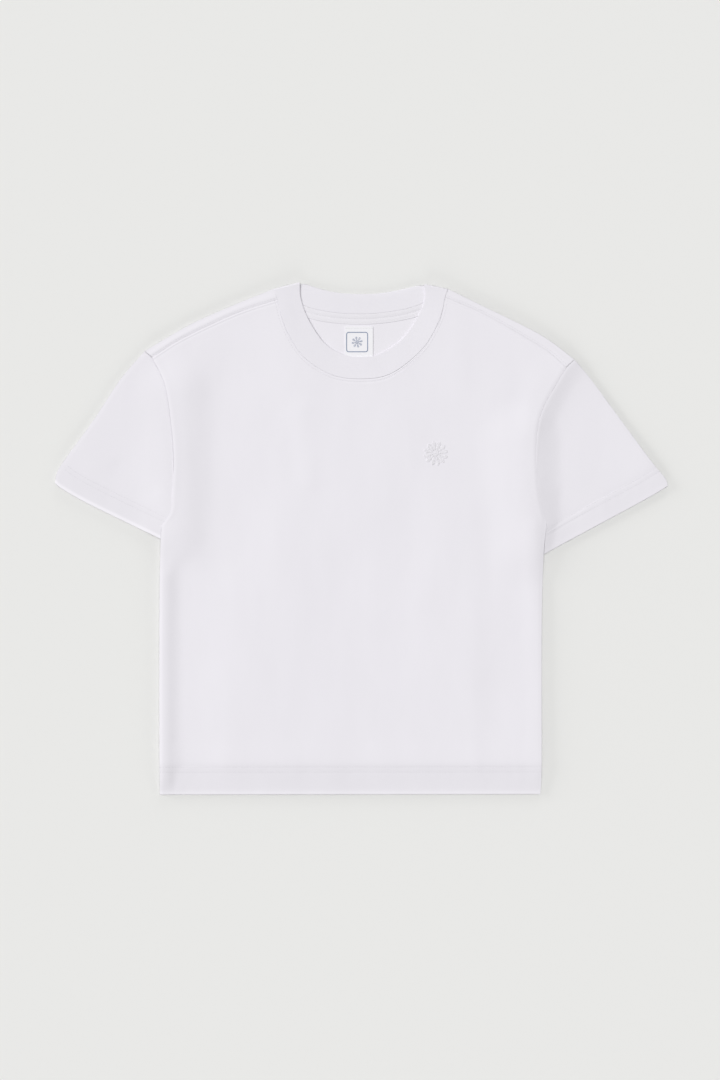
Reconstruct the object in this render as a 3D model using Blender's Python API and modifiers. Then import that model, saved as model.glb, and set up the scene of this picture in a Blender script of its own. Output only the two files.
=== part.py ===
"""A child's boxy T-shirt in white cotton jersey, laid flat on its back with its front up.

The garment is built from the pieces that a maker cuts and sews. Each is a thin wall of cloth: the back
lies on the surface, wraps over the shoulders and meets the front at a seam that sits a little forward,
the sleeves are flattened tubes, and the neckband is one ring of rib that folds over at both shoulders.

+X is to the right and +Y towards the neck, as seen from above. +Z is up, and the cloth rests on z = 0.
"""

import math
from collections import namedtuple

import bmesh
import bpy
from mathutils import Vector

# Driving sizes, in millimetres.
CLOTH = 1.0            # wall of the jersey
HEM_WALL = 1.8         # wall where the jersey is turned under
RIB_WALL = 2.0         # wall of the neckband, folded double
TAPE_WALL = 1.0
LABEL_WALL = 1.0
SEAM_GAP = 0.3         # between neighbouring pieces
CORNER_GAP = 0.45      # between pieces where they turn over a shoulder
LOFT = 4.2             # height of the front's face where it lies plain
LEAST_LOFT = 2.6       # the front's face where a trough presses it onto the back
ROLL = 2.1             # radius at which the cloth turns over at a fold or a side seam
ROLL_STEPS = 3
BAND_ROLL = 2.3        # outer radius at which the neckband turns over
BAND_RISE = 0.4        # the neckband's face stands this much above the front's
HEM_DEPTH = 28.0
CUFF_DEPTH = 22.0
HEM_LEDGE = 2.0        # run over which a hem's turned edge thins out
TAPE_WIDTH = 10.0
TAPE_SHARE = 0.14      # the tape stops this share of the back neck short of each shoulder
LABEL_LEFT = -16.3
LABEL_RIGHT = 11.7
LABEL_TOP = 212.0
LABEL_FOOT = 180.5
MIDDLE = (0.5, -0.07)  # middle of the outline below, which becomes the origin
MM = 0.001
JERSEY_COLOUR = (0.83, 0.82, 0.86)
RIB_COLOUR = (0.82, 0.81, 0.85)
TAPE_COLOUR = (0.84, 0.83, 0.86)
LABEL_COLOUR = (0.85, 0.84, 0.87)
MATTE = 0.9            # roughness of the knits
SMOOTH_WEAVE = 0.75    # roughness of the tape and label

# How finely each piece is divided.
SIDE_ROWS = 13
HEM_ROWS = 3             # rows of points in a turned hem
ARM_ROWS = 12
SHOULDER_COLUMNS = 6
NECK_COLUMNS = 22
BESIDE_TOP = 3           # the row below the top edge that shows which way is inwards
BACK_SIDE_ROWS = 4
BACK_NECK_COLUMNS = 14
SLEEVE_TURN = 4          # the armhole's lowest points lie along the sleeve's underarm side
TAPE_COLUMNS = 18

# The outline, in millimetres: each line passes smoothly through its points.
HEM_LEFT = (-201.4, -256.0)
HEM_RIGHT = (178.9, -255.6)
SIDE_LEFT = (HEM_LEFT, (-201.8, -170.0), (-201.6, -60.0), (-200.7, -10.0), (-199.7, 12.5))
SIDE_RIGHT = (HEM_RIGHT, (180.3, -225.0), (180.3, -90.0), (182.0, -20.0), (185.1, 13.5))
JOIN_LEFT = (-209.0, 180.9)      # where the shoulder seam meets the armhole
JOIN_RIGHT = (204.9, 171.2)
ARM_TOP_LEFT = (-216.6, 187.2)   # where the armhole seam passes over the shoulder
ARM_TOP_RIGHT = (213.1, 178.9)
ARMHOLE_LEFT = (
    SIDE_LEFT[-1], (-190.6, 26.5), (-188.4, 50.0), (-187.2, 79.0), (-189.6, 112.0), (-196.0, 152.5),
    JOIN_LEFT,
)
ARMHOLE_RIGHT = (
    SIDE_RIGHT[-1], (177.7, 42.5), (175.0, 74.0), (175.5, 104.5), (181.0, 129.0), (193.7, 152.5),
    JOIN_RIGHT,
)
NECK_JOIN_LEFT = (-84.0, 238.8)  # where the shoulder seam meets the neckband
NECK_JOIN_RIGHT = (83.8, 241.2)
SHOULDER_LEFT = (JOIN_LEFT, (-178.3, 200.1), (-126.3, 224.5), NECK_JOIN_LEFT)
SHOULDER_RIGHT = (NECK_JOIN_RIGHT, (126.0, 222.6), (182.7, 189.5), JOIN_RIGHT)
CORNER_LEFT = (-87.5, 249.5)     # where the neck seam passes over the shoulder
CORNER_RIGHT = (86.4, 249.5)
FOLD_LEFT = (ARM_TOP_LEFT, (-171.3, 213.6), (-131.3, 231.6), CORNER_LEFT)
FOLD_RIGHT = (CORNER_RIGHT, (118.7, 233.6), (178.7, 203.7), ARM_TOP_RIGHT)
NECK_FRONT = (
    NECK_JOIN_LEFT, (-75.3, 209.5), (-57.6, 181.6), (-30.0, 163.8), (0.2, 159.5),
    (30.0, 165.0), (60.6, 189.0), (77.7, 217.5), NECK_JOIN_RIGHT,
)
NECK_BACK = (CORNER_LEFT, (-49.3, 230.2), (0.2, 224.5), (50.7, 231.2), CORNER_RIGHT)
BAND_FRONT_EDGE = (
    (-61.8, 256.2), (-60.3, 239.5), (-52.8, 219.0), (-37.0, 195.5), (-17.0, 183.6), (0.7, 181.5),
    (19.0, 184.6), (42.7, 201.0), (58.7, 226.0), (63.6, 240.0), (63.2, 254.4),
)
BAND_BACK_EDGE = ((-61.8, 256.2), (-29.3, 246.7), (0.2, 244.4), (26.7, 246.4), (63.2, 254.4))
SLEEVE_LEFT_TOP = (ARM_TOP_LEFT, (-241.0, 158.5), (-267.4, 118.5), (-296.4, 78.5), (-305.5, 59.5))
SLEEVE_LEFT_CUFF = ((-201.6, 2.0), (-235.3, 18.3), (-276.3, 38.6), (-298.0, 51.0), (-305.5, 59.5))
SLEEVE_RIGHT_TOP = (ARM_TOP_RIGHT, (229.7, 158.7), (259.3, 118.5), (288.9, 78.5), (306.5, 54.0))
SLEEVE_RIGHT_CUFF = ((186.8, -13.6), (208.7, -1.5), (245.7, 18.4), (282.7, 38.4), (306.5, 54.0))

# The largest folds: each runs from x0, y0 to x1, y1, is wide on either side, and lifts or sinks the face.
Fold = namedtuple("Fold", "x0 y0 x1 y1 wide rise")
FOLDS = (
    Fold(-187.0, 140.0, -190.0, 30.0, 26.0, 1.5),     # left armhole seam
    Fold(-152.0, 150.0, -158.0, -20.0, 34.0, -1.0),   # dip beside it
    Fold(-196.0, -30.0, -196.0, -240.0, 9.0, 0.9),    # rolled left side
    Fold(-182.0, -20.0, -182.0, -225.0, 14.0, -0.9),  # trough inside it
    Fold(166.0, 120.0, 168.0, -215.0, 36.0, 1.5),     # broad ridge on the right
    Fold(190.0, 140.0, 192.0, 40.0, 24.0, -1.4),      # hollow in the right sleeve
    Fold(121.0, 0.0, 123.0, -115.0, 22.0, -0.6),      # shallow valley inside the ridge
    Fold(-95.0, -30.0, -105.0, -170.0, 70.0, 0.5),    # low swell on the lower left
    Fold(-60.0, 125.0, -42.0, 60.0, 18.0, 0.35),      # soft line below the neck
    Fold(-110.0, 100.0, -40.0, -60.0, 30.0, 0.3),
    Fold(60.0, 60.0, 30.0, -90.0, 34.0, -0.35),
    Fold(215.0, 150.0, 262.0, 78.0, 22.0, 0.6),       # crown of the right sleeve
    Fold(-232.0, 150.0, -270.0, 85.0, 22.0, 0.5),     # crown of the left sleeve
    Fold(205.0, 40.0, 235.0, 50.0, 16.0, -0.5),       # drag lines in the sleeves
    Fold(-212.0, 50.0, -240.0, 70.0, 16.0, -0.6),
)


# ---- Lines -------------------------------------------------------------------------------------


def smooth(points, per_span=16):
    """A close row of points on the smooth curve through the given ones."""
    path = [Vector(p) for p in points]
    path = [2 * path[0] - path[1], *path, 2 * path[-1] - path[-2]]
    line = []
    for a, b, c, d in zip(path, path[1:], path[2:], path[3:]):
        for step in range(per_span):
            t = step / per_span
            line.append(
                0.5 * (2 * b + (c - a) * t + (2 * a - 5 * b + 4 * c - d) * t**2
                       + (3 * b - a - 3 * c + d) * t**3)
            )
    return [*line, path[-2]]


def length(line):
    return sum((b - a).length for a, b in zip(line, line[1:]))


def at(line, distance):
    """The point at a distance along a line."""
    for a, b in zip(line, line[1:]):
        step = (b - a).length
        if distance <= step and step > 0:
            return a.lerp(b, distance / step)
        distance -= step
    return line[-1].copy()


def even(line, count):
    """The line, divided into count equal stretches."""
    whole = length(line)
    return [at(line, whole * i / count) for i in range(count + 1)]


def mix(a, b, share):
    return a + (b - a) * share


# ---- Heights -----------------------------------------------------------------------------------


def face_height(x, y):
    """How high the front's face lies, with its folds."""
    height = LOFT
    for fold in FOLDS:
        start = Vector((fold.x0, fold.y0))
        run = Vector((fold.x1, fold.y1)) - start
        share = (Vector((x, y)) - start).dot(run) / run.length_squared
        near = start + run * min(1.0, max(0.0, share))
        away = (Vector((x, y)) - near).length / fold.wide
        if away < 1:
            height += fold.rise * 0.5 * (1 + math.cos(math.pi * away))
    return max(height, LEAST_LOFT)


def roll_steps():
    """The steps of a quarter turn: how far each is inside the edge, and its share of the height."""
    angles = [math.pi / 2 * step / ROLL_STEPS for step in range(ROLL_STEPS + 1)]
    return [(ROLL * (1 - math.cos(a)), math.sin(a)) for a in angles]


def upper(x, y, share=1.0):
    """A point of a face, where share is 0 at the edge of a rolled side and 1 past it."""
    return Vector((x, y, mix(ROLL, face_height(x, y), share)))


def lower(x, y, share=1.0):
    return Vector((x, y, mix(ROLL, 0.0, share)))


# ---- Patches and walls -------------------------------------------------------------------------


def shares(line):
    whole = length(line)
    far = [0.0]
    for a, b in zip(line, line[1:]):
        far.append(far[-1] + (b - a).length / whole)
    return far


def patch(foot, head, left, right):
    """A grid of points, row by row, that fills the outline of four lines."""
    across = [(a + b) / 2 for a, b in zip(shares(foot), shares(head))]
    up = [(a + b) / 2 for a, b in zip(shares(left), shares(right))]
    grid = []
    for i, v in enumerate(up):
        row = []
        for j, u in enumerate(across):
            foot_line = mix(foot[0], foot[-1], u)
            head_line = mix(head[0], head[-1], u)
            left_line = mix(left[0], left[-1], v)
            right_line = mix(right[0], right[-1], v)
            row.append(
                mix(foot_line, head_line, v)
                + (foot[j] - foot_line) * (1 - v) ** 2
                + (head[j] - head_line) * v**2
                + (left[i] - left_line) * (1 - u) ** 2
                + (right[i] - right_line) * u**2
            )
        grid.append(row)
    return grid


def inward(edge, inside, distance):
    """Move each point of an edge at a right angle to it, towards the line beside it."""
    moved = []
    for k, point in enumerate(edge):
        along = edge[min(k + 1, len(edge) - 1)] - edge[max(k - 1, 0)]
        side = Vector((-along.y, along.x)).normalized()
        if side.dot(inside[k] - point) < 0:
            side = -side
        moved.append(side * distance)
    return moved


def open_seam(grid, seam, beside):
    """Draw a seamed edge back by half of the gap, where seam and beside list places in the grid."""
    edge = [grid[i][j] for i, j in seam]
    inside = [grid[i][j] for i, j in beside]
    for (i, j), point, move in zip(seam, edge, inward(edge, inside, SEAM_GAP / 2)):
        grid[i][j] = point + move


def open_armholes(grid, rows):
    """Draw back both armhole edges of a panel."""
    for column, beside in ((0, ROLL_STEPS), (len(grid[0]) - 1, len(grid[0]) - 1 - ROLL_STEPS)):
        open_seam(grid, [(i, column) for i in rows], [(i, beside) for i in rows])


def open_top(grid, columns):
    """Draw back a stretch of a panel's top edge."""
    top = len(grid) - 1
    open_seam(grid, [(top, j) for j in columns], [(top - BESIDE_TOP, j) for j in columns])


def spread_columns(grid, rows):
    """Space the columns that roll over at a side evenly where the side is a flat seam."""
    for i in rows:
        row = grid[i]
        for edge, plain in ((0, ROLL_STEPS), (-1, -1 - ROLL_STEPS)):
            step = 1 if edge == 0 else -1
            for k in range(1, ROLL_STEPS):
                row[edge + step * k] = mix(row[edge], row[plain], k / ROLL_STEPS)


def faces(bm, rows, closed=False):
    """Join rows of corners with four-sided faces."""
    for near, far in zip(rows, rows[1:]):
        last = len(near) if closed else len(near) - 1
        for j in range(last):
            k = (j + 1) % len(near)
            bm.faces.new((near[j], near[k], far[k], far[j]))


def corners(bm, rows):
    return [[bm.verts.new(point * MM) for point in row] for row in rows]


def add_object(name, bm, colour, roughness):
    """Turn the shape into a named object with its own material."""
    for vert in bm.verts:
        vert.co.x -= MIDDLE[0] * MM
        vert.co.y -= MIDDLE[1] * MM
    mesh = bpy.data.meshes.new(name)
    bm.to_mesh(mesh)
    bm.free()
    mesh.shade_smooth()
    mesh.set_sharp_from_angle(angle=math.radians(40))
    piece = bpy.data.objects.new(name, mesh)
    garment.objects.link(piece)
    material = bpy.data.materials.new(name)
    material.use_nodes = True
    shader = material.node_tree.nodes["Principled BSDF"]
    shader.inputs["Base Color"].default_value = (*colour, 1)
    shader.inputs["Roughness"].default_value = roughness
    shader.inputs["Metallic"].default_value = 0.0
    mesh.materials.append(material)
    return piece


def thicken(piece, wall, thick_corners=(), plain_share=1.0):
    """Give an open surface its wall, on the side away from its normals."""
    solid = piece.modifiers.new("wall", "SOLIDIFY")
    solid.thickness = wall * MM
    solid.offset = -1.0
    if thick_corners:
        group = piece.vertex_groups.new(name="turned_hem")
        group.add(list(thick_corners), 1.0, "REPLACE")
        solid.vertex_group = group.name
        solid.thickness_vertex_group = plain_share


def hem_corners(rows, depth_rows):
    return [vert.index for row in rows[:depth_rows] for vert in row]


# ---- The body ----------------------------------------------------------------------------------


def armhole(points, top):
    """The armhole seam's points: up to the shoulder seam, and on over the shoulder."""
    front = even(smooth(points), ARM_ROWS)
    over = Vector(top) - front[-1]
    reach = over.length
    rest = [front[-1] + over * ((reach - inset) / reach) for inset, _ in reversed(roll_steps())]
    return front, rest


def side(points, rows):
    """The side's points, with the turned hem's own rows at its foot."""
    line = smooth(points)
    step = (length(line) - HEM_DEPTH) / rows
    hem = [at(line, (HEM_DEPTH - HEM_LEDGE) * i / (HEM_ROWS - 1)) for i in range(HEM_ROWS)]
    return hem + [at(line, HEM_DEPTH + step * i) for i in range(rows + 1)]


def shoulder(points, outer_first):
    """A shoulder line's points, closer together beside the armhole."""
    line = smooth(points if outer_first else points[::-1])
    close = [at(line, inset) for inset, _ in roll_steps()]
    step = (length(line) - ROLL) / SHOULDER_COLUMNS
    row = close + [at(line, ROLL + step * i) for i in range(1, SHOULDER_COLUMNS + 1)]
    return row if outer_first else row[::-1]


def hem_line(columns):
    """The foot of a panel, divided as its shoulders are."""
    line = [Vector(HEM_LEFT), Vector(HEM_RIGHT)]
    whole = length(line)
    insets = [inset for inset, _ in roll_steps()]
    inner = columns - 2 * ROLL_STEPS
    places = insets + [mix(ROLL, whole - ROLL, i / inner) for i in range(1, inner)]
    places += [whole - inset for inset in reversed(insets)]
    return [at(line, place) for place in places]


def roll_share(i, j, wide, underarm_row):
    """How far up a rolled side a point of a panel lies."""
    if i >= underarm_row:
        return 1.0
    near = min(j, wide - j)
    return roll_steps()[near][1] if near <= ROLL_STEPS else 1.0


def part_at_side(grid, underarm_row, move):
    """End the front and the back upright at the side seams, with a gap between them."""
    for row in grid[:underarm_row]:
        for edge, beside in ((0, 1), (-1, -2)):
            row[beside].xy = row[edge].xy
            row[edge].z += move


def make_front():
    arm_left, _ = armhole(ARMHOLE_LEFT, ARM_TOP_LEFT)
    arm_right, _ = armhole(ARMHOLE_RIGHT, ARM_TOP_RIGHT)
    left = side(SIDE_LEFT, SIDE_ROWS)
    underarm_row = len(left) - 1
    left += arm_left[1:]
    right = side(SIDE_RIGHT, SIDE_ROWS) + arm_right[1:]
    neck = neck_front_row()
    head = shoulder(SHOULDER_LEFT, True) + neck[1:-1] + shoulder(SHOULDER_RIGHT, False)
    foot = hem_line(len(head) - 1)
    grid = patch(foot, head, left, right)
    seamed = range(underarm_row, len(grid))
    wide = len(head) - 1
    open_armholes(grid, seamed)
    open_top(grid, range(len(head)))
    spread_columns(grid, seamed)
    points = [
        [upper(p.x, p.y, roll_share(i, j, wide, underarm_row)) for j, p in enumerate(row)]
        for i, row in enumerate(grid)
    ]
    part_at_side(points, underarm_row, SEAM_GAP / 2)
    bm = bmesh.new()
    rows = corners(bm, points)
    faces(bm, rows)
    bm.verts.index_update()
    hem = hem_corners(rows, HEM_ROWS)
    front = add_object("front", bm, JERSEY_COLOUR, MATTE)
    thicken(front, HEM_WALL, hem, CLOTH / HEM_WALL)


def corner_way(corner, edge):
    """The level direction in which the cloth turns over where the neckband crosses the shoulder."""
    across = (Vector(edge) - Vector(corner)).normalized()
    way = Vector((-across.y, across.x))
    return way if way.y > 0 else -way


def clear_ends(line, neck_end, arm_end, into):
    """Hold a shoulder line clear of the neckband and the sleeve, where into is +1 or -1 along it."""
    line[neck_end] = line[neck_end] - Vector((into * CORNER_GAP, 0))
    line[arm_end] = line[arm_end] + Vector((into * CORNER_GAP, CORNER_GAP / 2))
    plain = line[arm_end + into * ROLL_STEPS]
    for k in range(1, ROLL_STEPS):
        line[arm_end + into * k] = mix(line[arm_end], plain, k / ROLL_STEPS)


def fold_ways(fold_line, seam_line, neck_end, neck_way):
    """The level direction in which each column of a shoulder turns over."""
    ways = [(edge - seam).normalized() for edge, seam in zip(fold_line, seam_line)]
    ways[neck_end] = neck_way
    return ways


def fold_over(fold_line, seam_line, ways):
    """The rows of cloth that turn over a shoulder and reach down to the shoulder seam."""
    below = [(inset, share, lower) for inset, share in reversed(roll_steps())]
    above = [(inset, share, upper) for inset, share in roll_steps()[1:]]
    turn = []
    for inset, share, layer in below + above:
        drawn_in = [edge - way * inset for edge, way in zip(fold_line, ways)]
        turn.append([layer(p.x, p.y, share) for p in drawn_in])
    drawn = inward(seam_line, fold_line, SEAM_GAP / 2)
    turn.append([upper(*(seam + move)) for seam, move in zip(seam_line, drawn)])
    return turn


def make_back():
    arm_left, over_left = armhole(ARMHOLE_LEFT, ARM_TOP_LEFT)
    arm_right, over_right = armhole(ARMHOLE_RIGHT, ARM_TOP_RIGHT)
    left = side(SIDE_LEFT, BACK_SIDE_ROWS)
    underarm_row = len(left) - 1
    left += arm_left[1:] + over_left[:1]
    right = side(SIDE_RIGHT, BACK_SIDE_ROWS) + arm_right[1:] + over_right[:1]
    folds = [shoulder(FOLD_LEFT, True), shoulder(FOLD_RIGHT, False)]
    seams = [shoulder(SHOULDER_LEFT, True), shoulder(SHOULDER_RIGHT, False)]
    neck_ways = [
        corner_way(CORNER_LEFT, BAND_FRONT_EDGE[0]),
        corner_way(CORNER_RIGHT, BAND_FRONT_EDGE[-1]),
    ]
    for line in (folds[0], seams[0]):
        clear_ends(line, -1, 0, 1)
    for line in (folds[1], seams[1]):
        clear_ends(line, 0, -1, -1)
    ways = [
        fold_ways(folds[0], seams[0], -1, neck_ways[0]),
        fold_ways(folds[1], seams[1], 0, neck_ways[1]),
    ]
    axes = [[edge - way * ROLL for edge, way in zip(*lines)] for lines in zip(folds, ways)]
    neck = even(smooth(NECK_BACK), BACK_NECK_COLUMNS)[1:-1]
    head = axes[0] + neck + axes[1]
    grid = patch(hem_line(len(head) - 1), head, left[:-1] + [head[0]], right[:-1] + [head[-1]])
    seamed = range(underarm_row, len(grid) - 1)
    wide = len(head) - 1
    open_armholes(grid, seamed)
    open_top(grid, range(len(axes[0]), len(head) - len(axes[1])))
    spread_columns(grid, seamed)
    points = [
        [lower(p.x, p.y, roll_share(i, j, wide, underarm_row)) for j, p in enumerate(row)]
        for i, row in enumerate(grid)
    ]
    part_at_side(points, underarm_row, -SEAM_GAP / 2)
    bm = bmesh.new()
    rows = corners(bm, points)
    faces(bm, rows)
    shoulder_width = len(axes[0])
    for k, top_row in enumerate((rows[-1][:shoulder_width], rows[-1][-shoulder_width:])):
        turned = corners(bm, fold_over(folds[k], seams[k], ways[k])[1:])
        faces(bm, [top_row] + turned)
    bm.verts.index_update()
    hem = hem_corners(rows, HEM_ROWS)
    bmesh.ops.reverse_faces(bm, faces=bm.faces)
    back = add_object("back", bm, JERSEY_COLOUR, MATTE)
    thicken(back, HEM_WALL, hem, CLOTH / HEM_WALL)


# ---- The sleeves -------------------------------------------------------------------------------


def sleeve_patch(arm_points, arm_top, top_points, cuff_points):
    """One layer of a sleeve: from the armhole, row by row, to the cuff, and across to its top fold."""
    front, over = armhole(arm_points, arm_top)
    arm = front[SLEEVE_TURN:] + over
    underarm = Vector(cuff_points[0])
    low = front[SLEEVE_TURN::-1] + [(front[0] + underarm) / 2, underarm]
    cuff = smooth(cuff_points)
    whole = length(cuff)
    insets = [inset for inset, _ in roll_steps()]
    plain = len(arm) - len(insets)
    places = [(whole - ROLL) * i / plain for i in range(plain)]
    places += [whole - inset for inset in reversed(insets)]
    top = smooth(top_points)
    far = length(top) - CUFF_DEPTH
    high = [at(top, far * i / SLEEVE_TURN) for i in range(SLEEVE_TURN + 1)]
    high += [at(top, far + CUFF_DEPTH / 2), top[-1]]
    grid = patch(arm, [at(cuff, place) for place in places], low, high)
    across = range(len(arm))
    open_seam(grid, [(0, j) for j in across], [(1, j) for j in across])
    turned = range(1, SLEEVE_TURN + 1)
    open_seam(grid, [(i, 0) for i in turned], [(i, 1) for i in turned])
    return grid


def make_sleeve(name, arm_points, arm_top, top_points, cuff_points):
    """Two layers of jersey, folded along the top and closed by the underarm seam."""
    grid = sleeve_patch(arm_points, arm_top, top_points, cuff_points)
    lift = [share for _, share in roll_steps()]
    lift = [1.0] * (len(grid[0]) - len(lift)) + lift[::-1]
    layers = []
    for row in grid:
        above = [upper(p.x, p.y, share) for p, share in zip(row, lift)]
        below = [lower(p.x, p.y, share) for p, share in zip(row, lift)]
        layers.append(above + below[-2::-1])
    bm = bmesh.new()
    rows = corners(bm, layers)
    faces(bm, rows)
    bm.verts.index_update()
    hem = [vert.index for row in rows[SLEEVE_TURN + 1:] for vert in row]
    if cuff_points[0][0] > 0:
        bmesh.ops.reverse_faces(bm, faces=bm.faces)
    sleeve = add_object(name, bm, JERSEY_COLOUR, MATTE)
    thicken(sleeve, HEM_WALL, hem, CLOTH / HEM_WALL)


# ---- The neck ----------------------------------------------------------------------------------

# The neckband's section: share of the way from its seam to its folded edge, and of half its wall.
BAND_SECTION = ((0.0, -1.0), (0.95, -1.0), (1.0, -0.4), (1.0, 0.4), (0.95, 1.0), (0.0, 1.0))


def band_section(seam, edge, height, out):
    """One section of the neckband, from its seam to its edge, with its wall along out."""
    half = RIB_WALL / 2
    start = Vector((seam.x, seam.y, height))
    end = Vector((edge.x, edge.y, height))
    return [mix(start, end, share) + out * (half * side_share) for share, side_share in BAND_SECTION]


def turn_over(seam, edge, way):
    """The sections of the neckband's turn over a shoulder, from its front down to its back."""
    middle = BAND_ROLL - RIB_WALL / 2
    sections = []
    for step in range(ROLL_STEPS, -ROLL_STEPS - 1, -1):
        angle = math.pi / 2 * step / ROLL_STEPS
        out = way.to_3d() * math.cos(angle)
        out.z = math.sin(angle)
        back = way * (BAND_ROLL - middle * math.cos(angle))
        sections.append(band_section(seam - back, edge - back, BAND_ROLL + middle * out.z, out))
    return sections


def neck_front_row():
    """The neck seam's points on the front, between the shoulder seams."""
    return even(smooth(NECK_FRONT), NECK_COLUMNS)


def make_neckband():
    up = Vector((0, 0, 1))
    half = RIB_WALL / 2
    corners_of_neck = [Vector(CORNER_LEFT), Vector(CORNER_RIGHT)]
    between = [
        (corner + Vector(join)) / 2
        for corner, join in zip(corners_of_neck, (NECK_JOIN_LEFT, NECK_JOIN_RIGHT))
    ]
    seam = [corners_of_neck[0], between[0], *neck_front_row(), between[1], corners_of_neck[1]]
    edge_line = smooth(BAND_FRONT_EDGE)
    edge = [at(edge_line, length(edge_line) * share) for share in shares(seam)]
    back_seam = even(smooth(NECK_BACK), BACK_NECK_COLUMNS)
    back_edge = even(smooth(BAND_BACK_EDGE), BACK_NECK_COLUMNS)
    half_gap = SEAM_GAP / 2
    seam = [p + move for p, move in zip(seam, inward(seam, edge, half_gap))]
    back_seam = [p + move for p, move in zip(back_seam, inward(back_seam, back_edge, half_gap))]
    front = [
        band_section(a, b, face_height(a.x, a.y) + BAND_RISE - half, up)
        for a, b in zip(seam[1:-1], edge[1:-1])
    ]
    back = [band_section(a, b, half, -up) for a, b in zip(back_seam[1:-1], back_edge[1:-1])]
    turns = [
        turn_over(seam[tip], edge[tip], corner_way(seam[tip], edge[tip])) for tip in (0, -1)
    ]
    ring = turns[0][::-1] + front + turns[1] + back[::-1]
    bm = bmesh.new()
    rows = corners(bm, ring)
    faces(bm, rows + rows[:1], closed=True)
    bmesh.ops.recalc_face_normals(bm, faces=bm.faces)
    add_object("neckband", bm, RIB_COLOUR, MATTE)


def make_tape():
    """The tape that covers the back neck seam, on the inside of the back."""
    seam = smooth(NECK_BACK)
    whole = length(seam)
    start = whole * TAPE_SHARE
    row = [at(seam, mix(start, whole - start, i / TAPE_COLUMNS)) for i in range(TAPE_COLUMNS + 1)]
    height = CLOTH + SEAM_GAP + TAPE_WALL
    strip = []
    below = [p + Vector((0, -1)) for p in row]
    for place in (SEAM_GAP * 1.5, TAPE_WIDTH / 2, TAPE_WIDTH):
        moved = inward(row, below, place)
        strip.append([Vector((*(p + move), height)) for p, move in zip(row, moved)])
    bm = bmesh.new()
    faces(bm, corners(bm, strip[::-1]))
    tape = add_object("neck_tape", bm, TAPE_COLOUR, SMOOTH_WEAVE)
    thicken(tape, TAPE_WALL)


def make_label():
    """The woven label below the tape, on the inside of the back."""
    height = CLOTH + SEAM_GAP + LABEL_WALL
    bm = bmesh.new()
    rows = [
        [Vector((x, y, height)) for x in (LABEL_LEFT, (LABEL_LEFT + LABEL_RIGHT) / 2, LABEL_RIGHT)]
        for y in (LABEL_FOOT, (LABEL_FOOT + LABEL_TOP) / 2, LABEL_TOP)
    ]
    faces(bm, corners(bm, rows))
    label = add_object("neck_label", bm, LABEL_COLOUR, SMOOTH_WEAVE)
    thicken(label, LABEL_WALL)


for old in list(bpy.data.objects):
    bpy.data.objects.remove(old)
garment = bpy.data.collections.new("t_shirt")
bpy.context.scene.collection.children.link(garment)

make_front()
make_back()
make_sleeve("sleeve_left", ARMHOLE_LEFT, ARM_TOP_LEFT, SLEEVE_LEFT_TOP, SLEEVE_LEFT_CUFF)
make_sleeve("sleeve_right", ARMHOLE_RIGHT, ARM_TOP_RIGHT, SLEEVE_RIGHT_TOP, SLEEVE_RIGHT_CUFF)
make_neckband()
make_tape()
make_label()
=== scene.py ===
# %% [markdown]
# # A white T-shirt, laid flat
#
# The object is a child's boxy T-shirt in fine white cotton jersey, laid on a pale surface with its front
# up. A maker cuts a front, a back, two sleeves and a strip of rib, and sews them together. This lesson
# dresses a plain CAD model of those pieces: each panel is made again as thin cloth, with its creases, hems,
# rib and stitches, in the place that the CAD model gives it. All tables are in millimetres.
#
# The CAD model comes first, because every piece is fitted to it and hung on its one body, "root".

import math
from collections import namedtuple

import bmesh
import bpy
import numpy as np
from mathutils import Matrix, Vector, noise
from mathutils.bvhtree import BVHTree


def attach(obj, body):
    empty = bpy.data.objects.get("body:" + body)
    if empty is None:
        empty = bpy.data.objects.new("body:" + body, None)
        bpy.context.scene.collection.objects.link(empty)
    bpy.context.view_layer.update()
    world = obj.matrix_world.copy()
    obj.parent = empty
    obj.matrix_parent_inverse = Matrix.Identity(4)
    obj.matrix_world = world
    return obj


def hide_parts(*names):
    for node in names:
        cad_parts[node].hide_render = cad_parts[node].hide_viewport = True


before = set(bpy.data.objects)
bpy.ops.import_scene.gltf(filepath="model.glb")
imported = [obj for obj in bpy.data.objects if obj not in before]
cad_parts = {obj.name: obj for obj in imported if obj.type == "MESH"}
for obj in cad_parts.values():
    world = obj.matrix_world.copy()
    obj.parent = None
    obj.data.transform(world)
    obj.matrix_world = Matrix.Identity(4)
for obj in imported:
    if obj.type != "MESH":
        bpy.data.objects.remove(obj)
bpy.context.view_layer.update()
MM = 0.001
print("CAD nodes:", ", ".join(sorted(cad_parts)))

# %% [markdown]
# ## Camera
#
# The photograph looks straight down. A long lens, 3 m above the cloth, keeps the hems and side seams
# parallel as in the picture. An orthographic camera would do that too, but a real lens shows the slight
# thickness of the far edges. One pixel of the 720 x 1080 picture is one millimetre at the surface, so the
# lens follows from the height of the view.

# %% Camera
VIEW_HEIGHT = 1.08
CAMERA_HEIGHT = 3.0
SENSOR = 36.0
PICTURE_MIDDLE = (-1.8, -1.4)     # where the middle of the picture falls on the T-shirt
scene = bpy.context.scene


def put(name, data):
    """An object with this data, in the scene."""
    made = bpy.data.objects.new(name, data)
    scene.collection.objects.link(made)
    return made


lens = bpy.data.cameras.new("studio_camera")
lens.sensor_fit = "VERTICAL"
lens.sensor_height = SENSOR
lens.lens = SENSOR * CAMERA_HEIGHT / VIEW_HEIGHT
lens.clip_end = 20
scene.camera = put("studio_camera", lens)
scene.camera.location = (PICTURE_MIDDLE[0] * MM, PICTURE_MIDDLE[1] * MM, CAMERA_HEIGHT)
print("lens", lens.lens, "mm")

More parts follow.
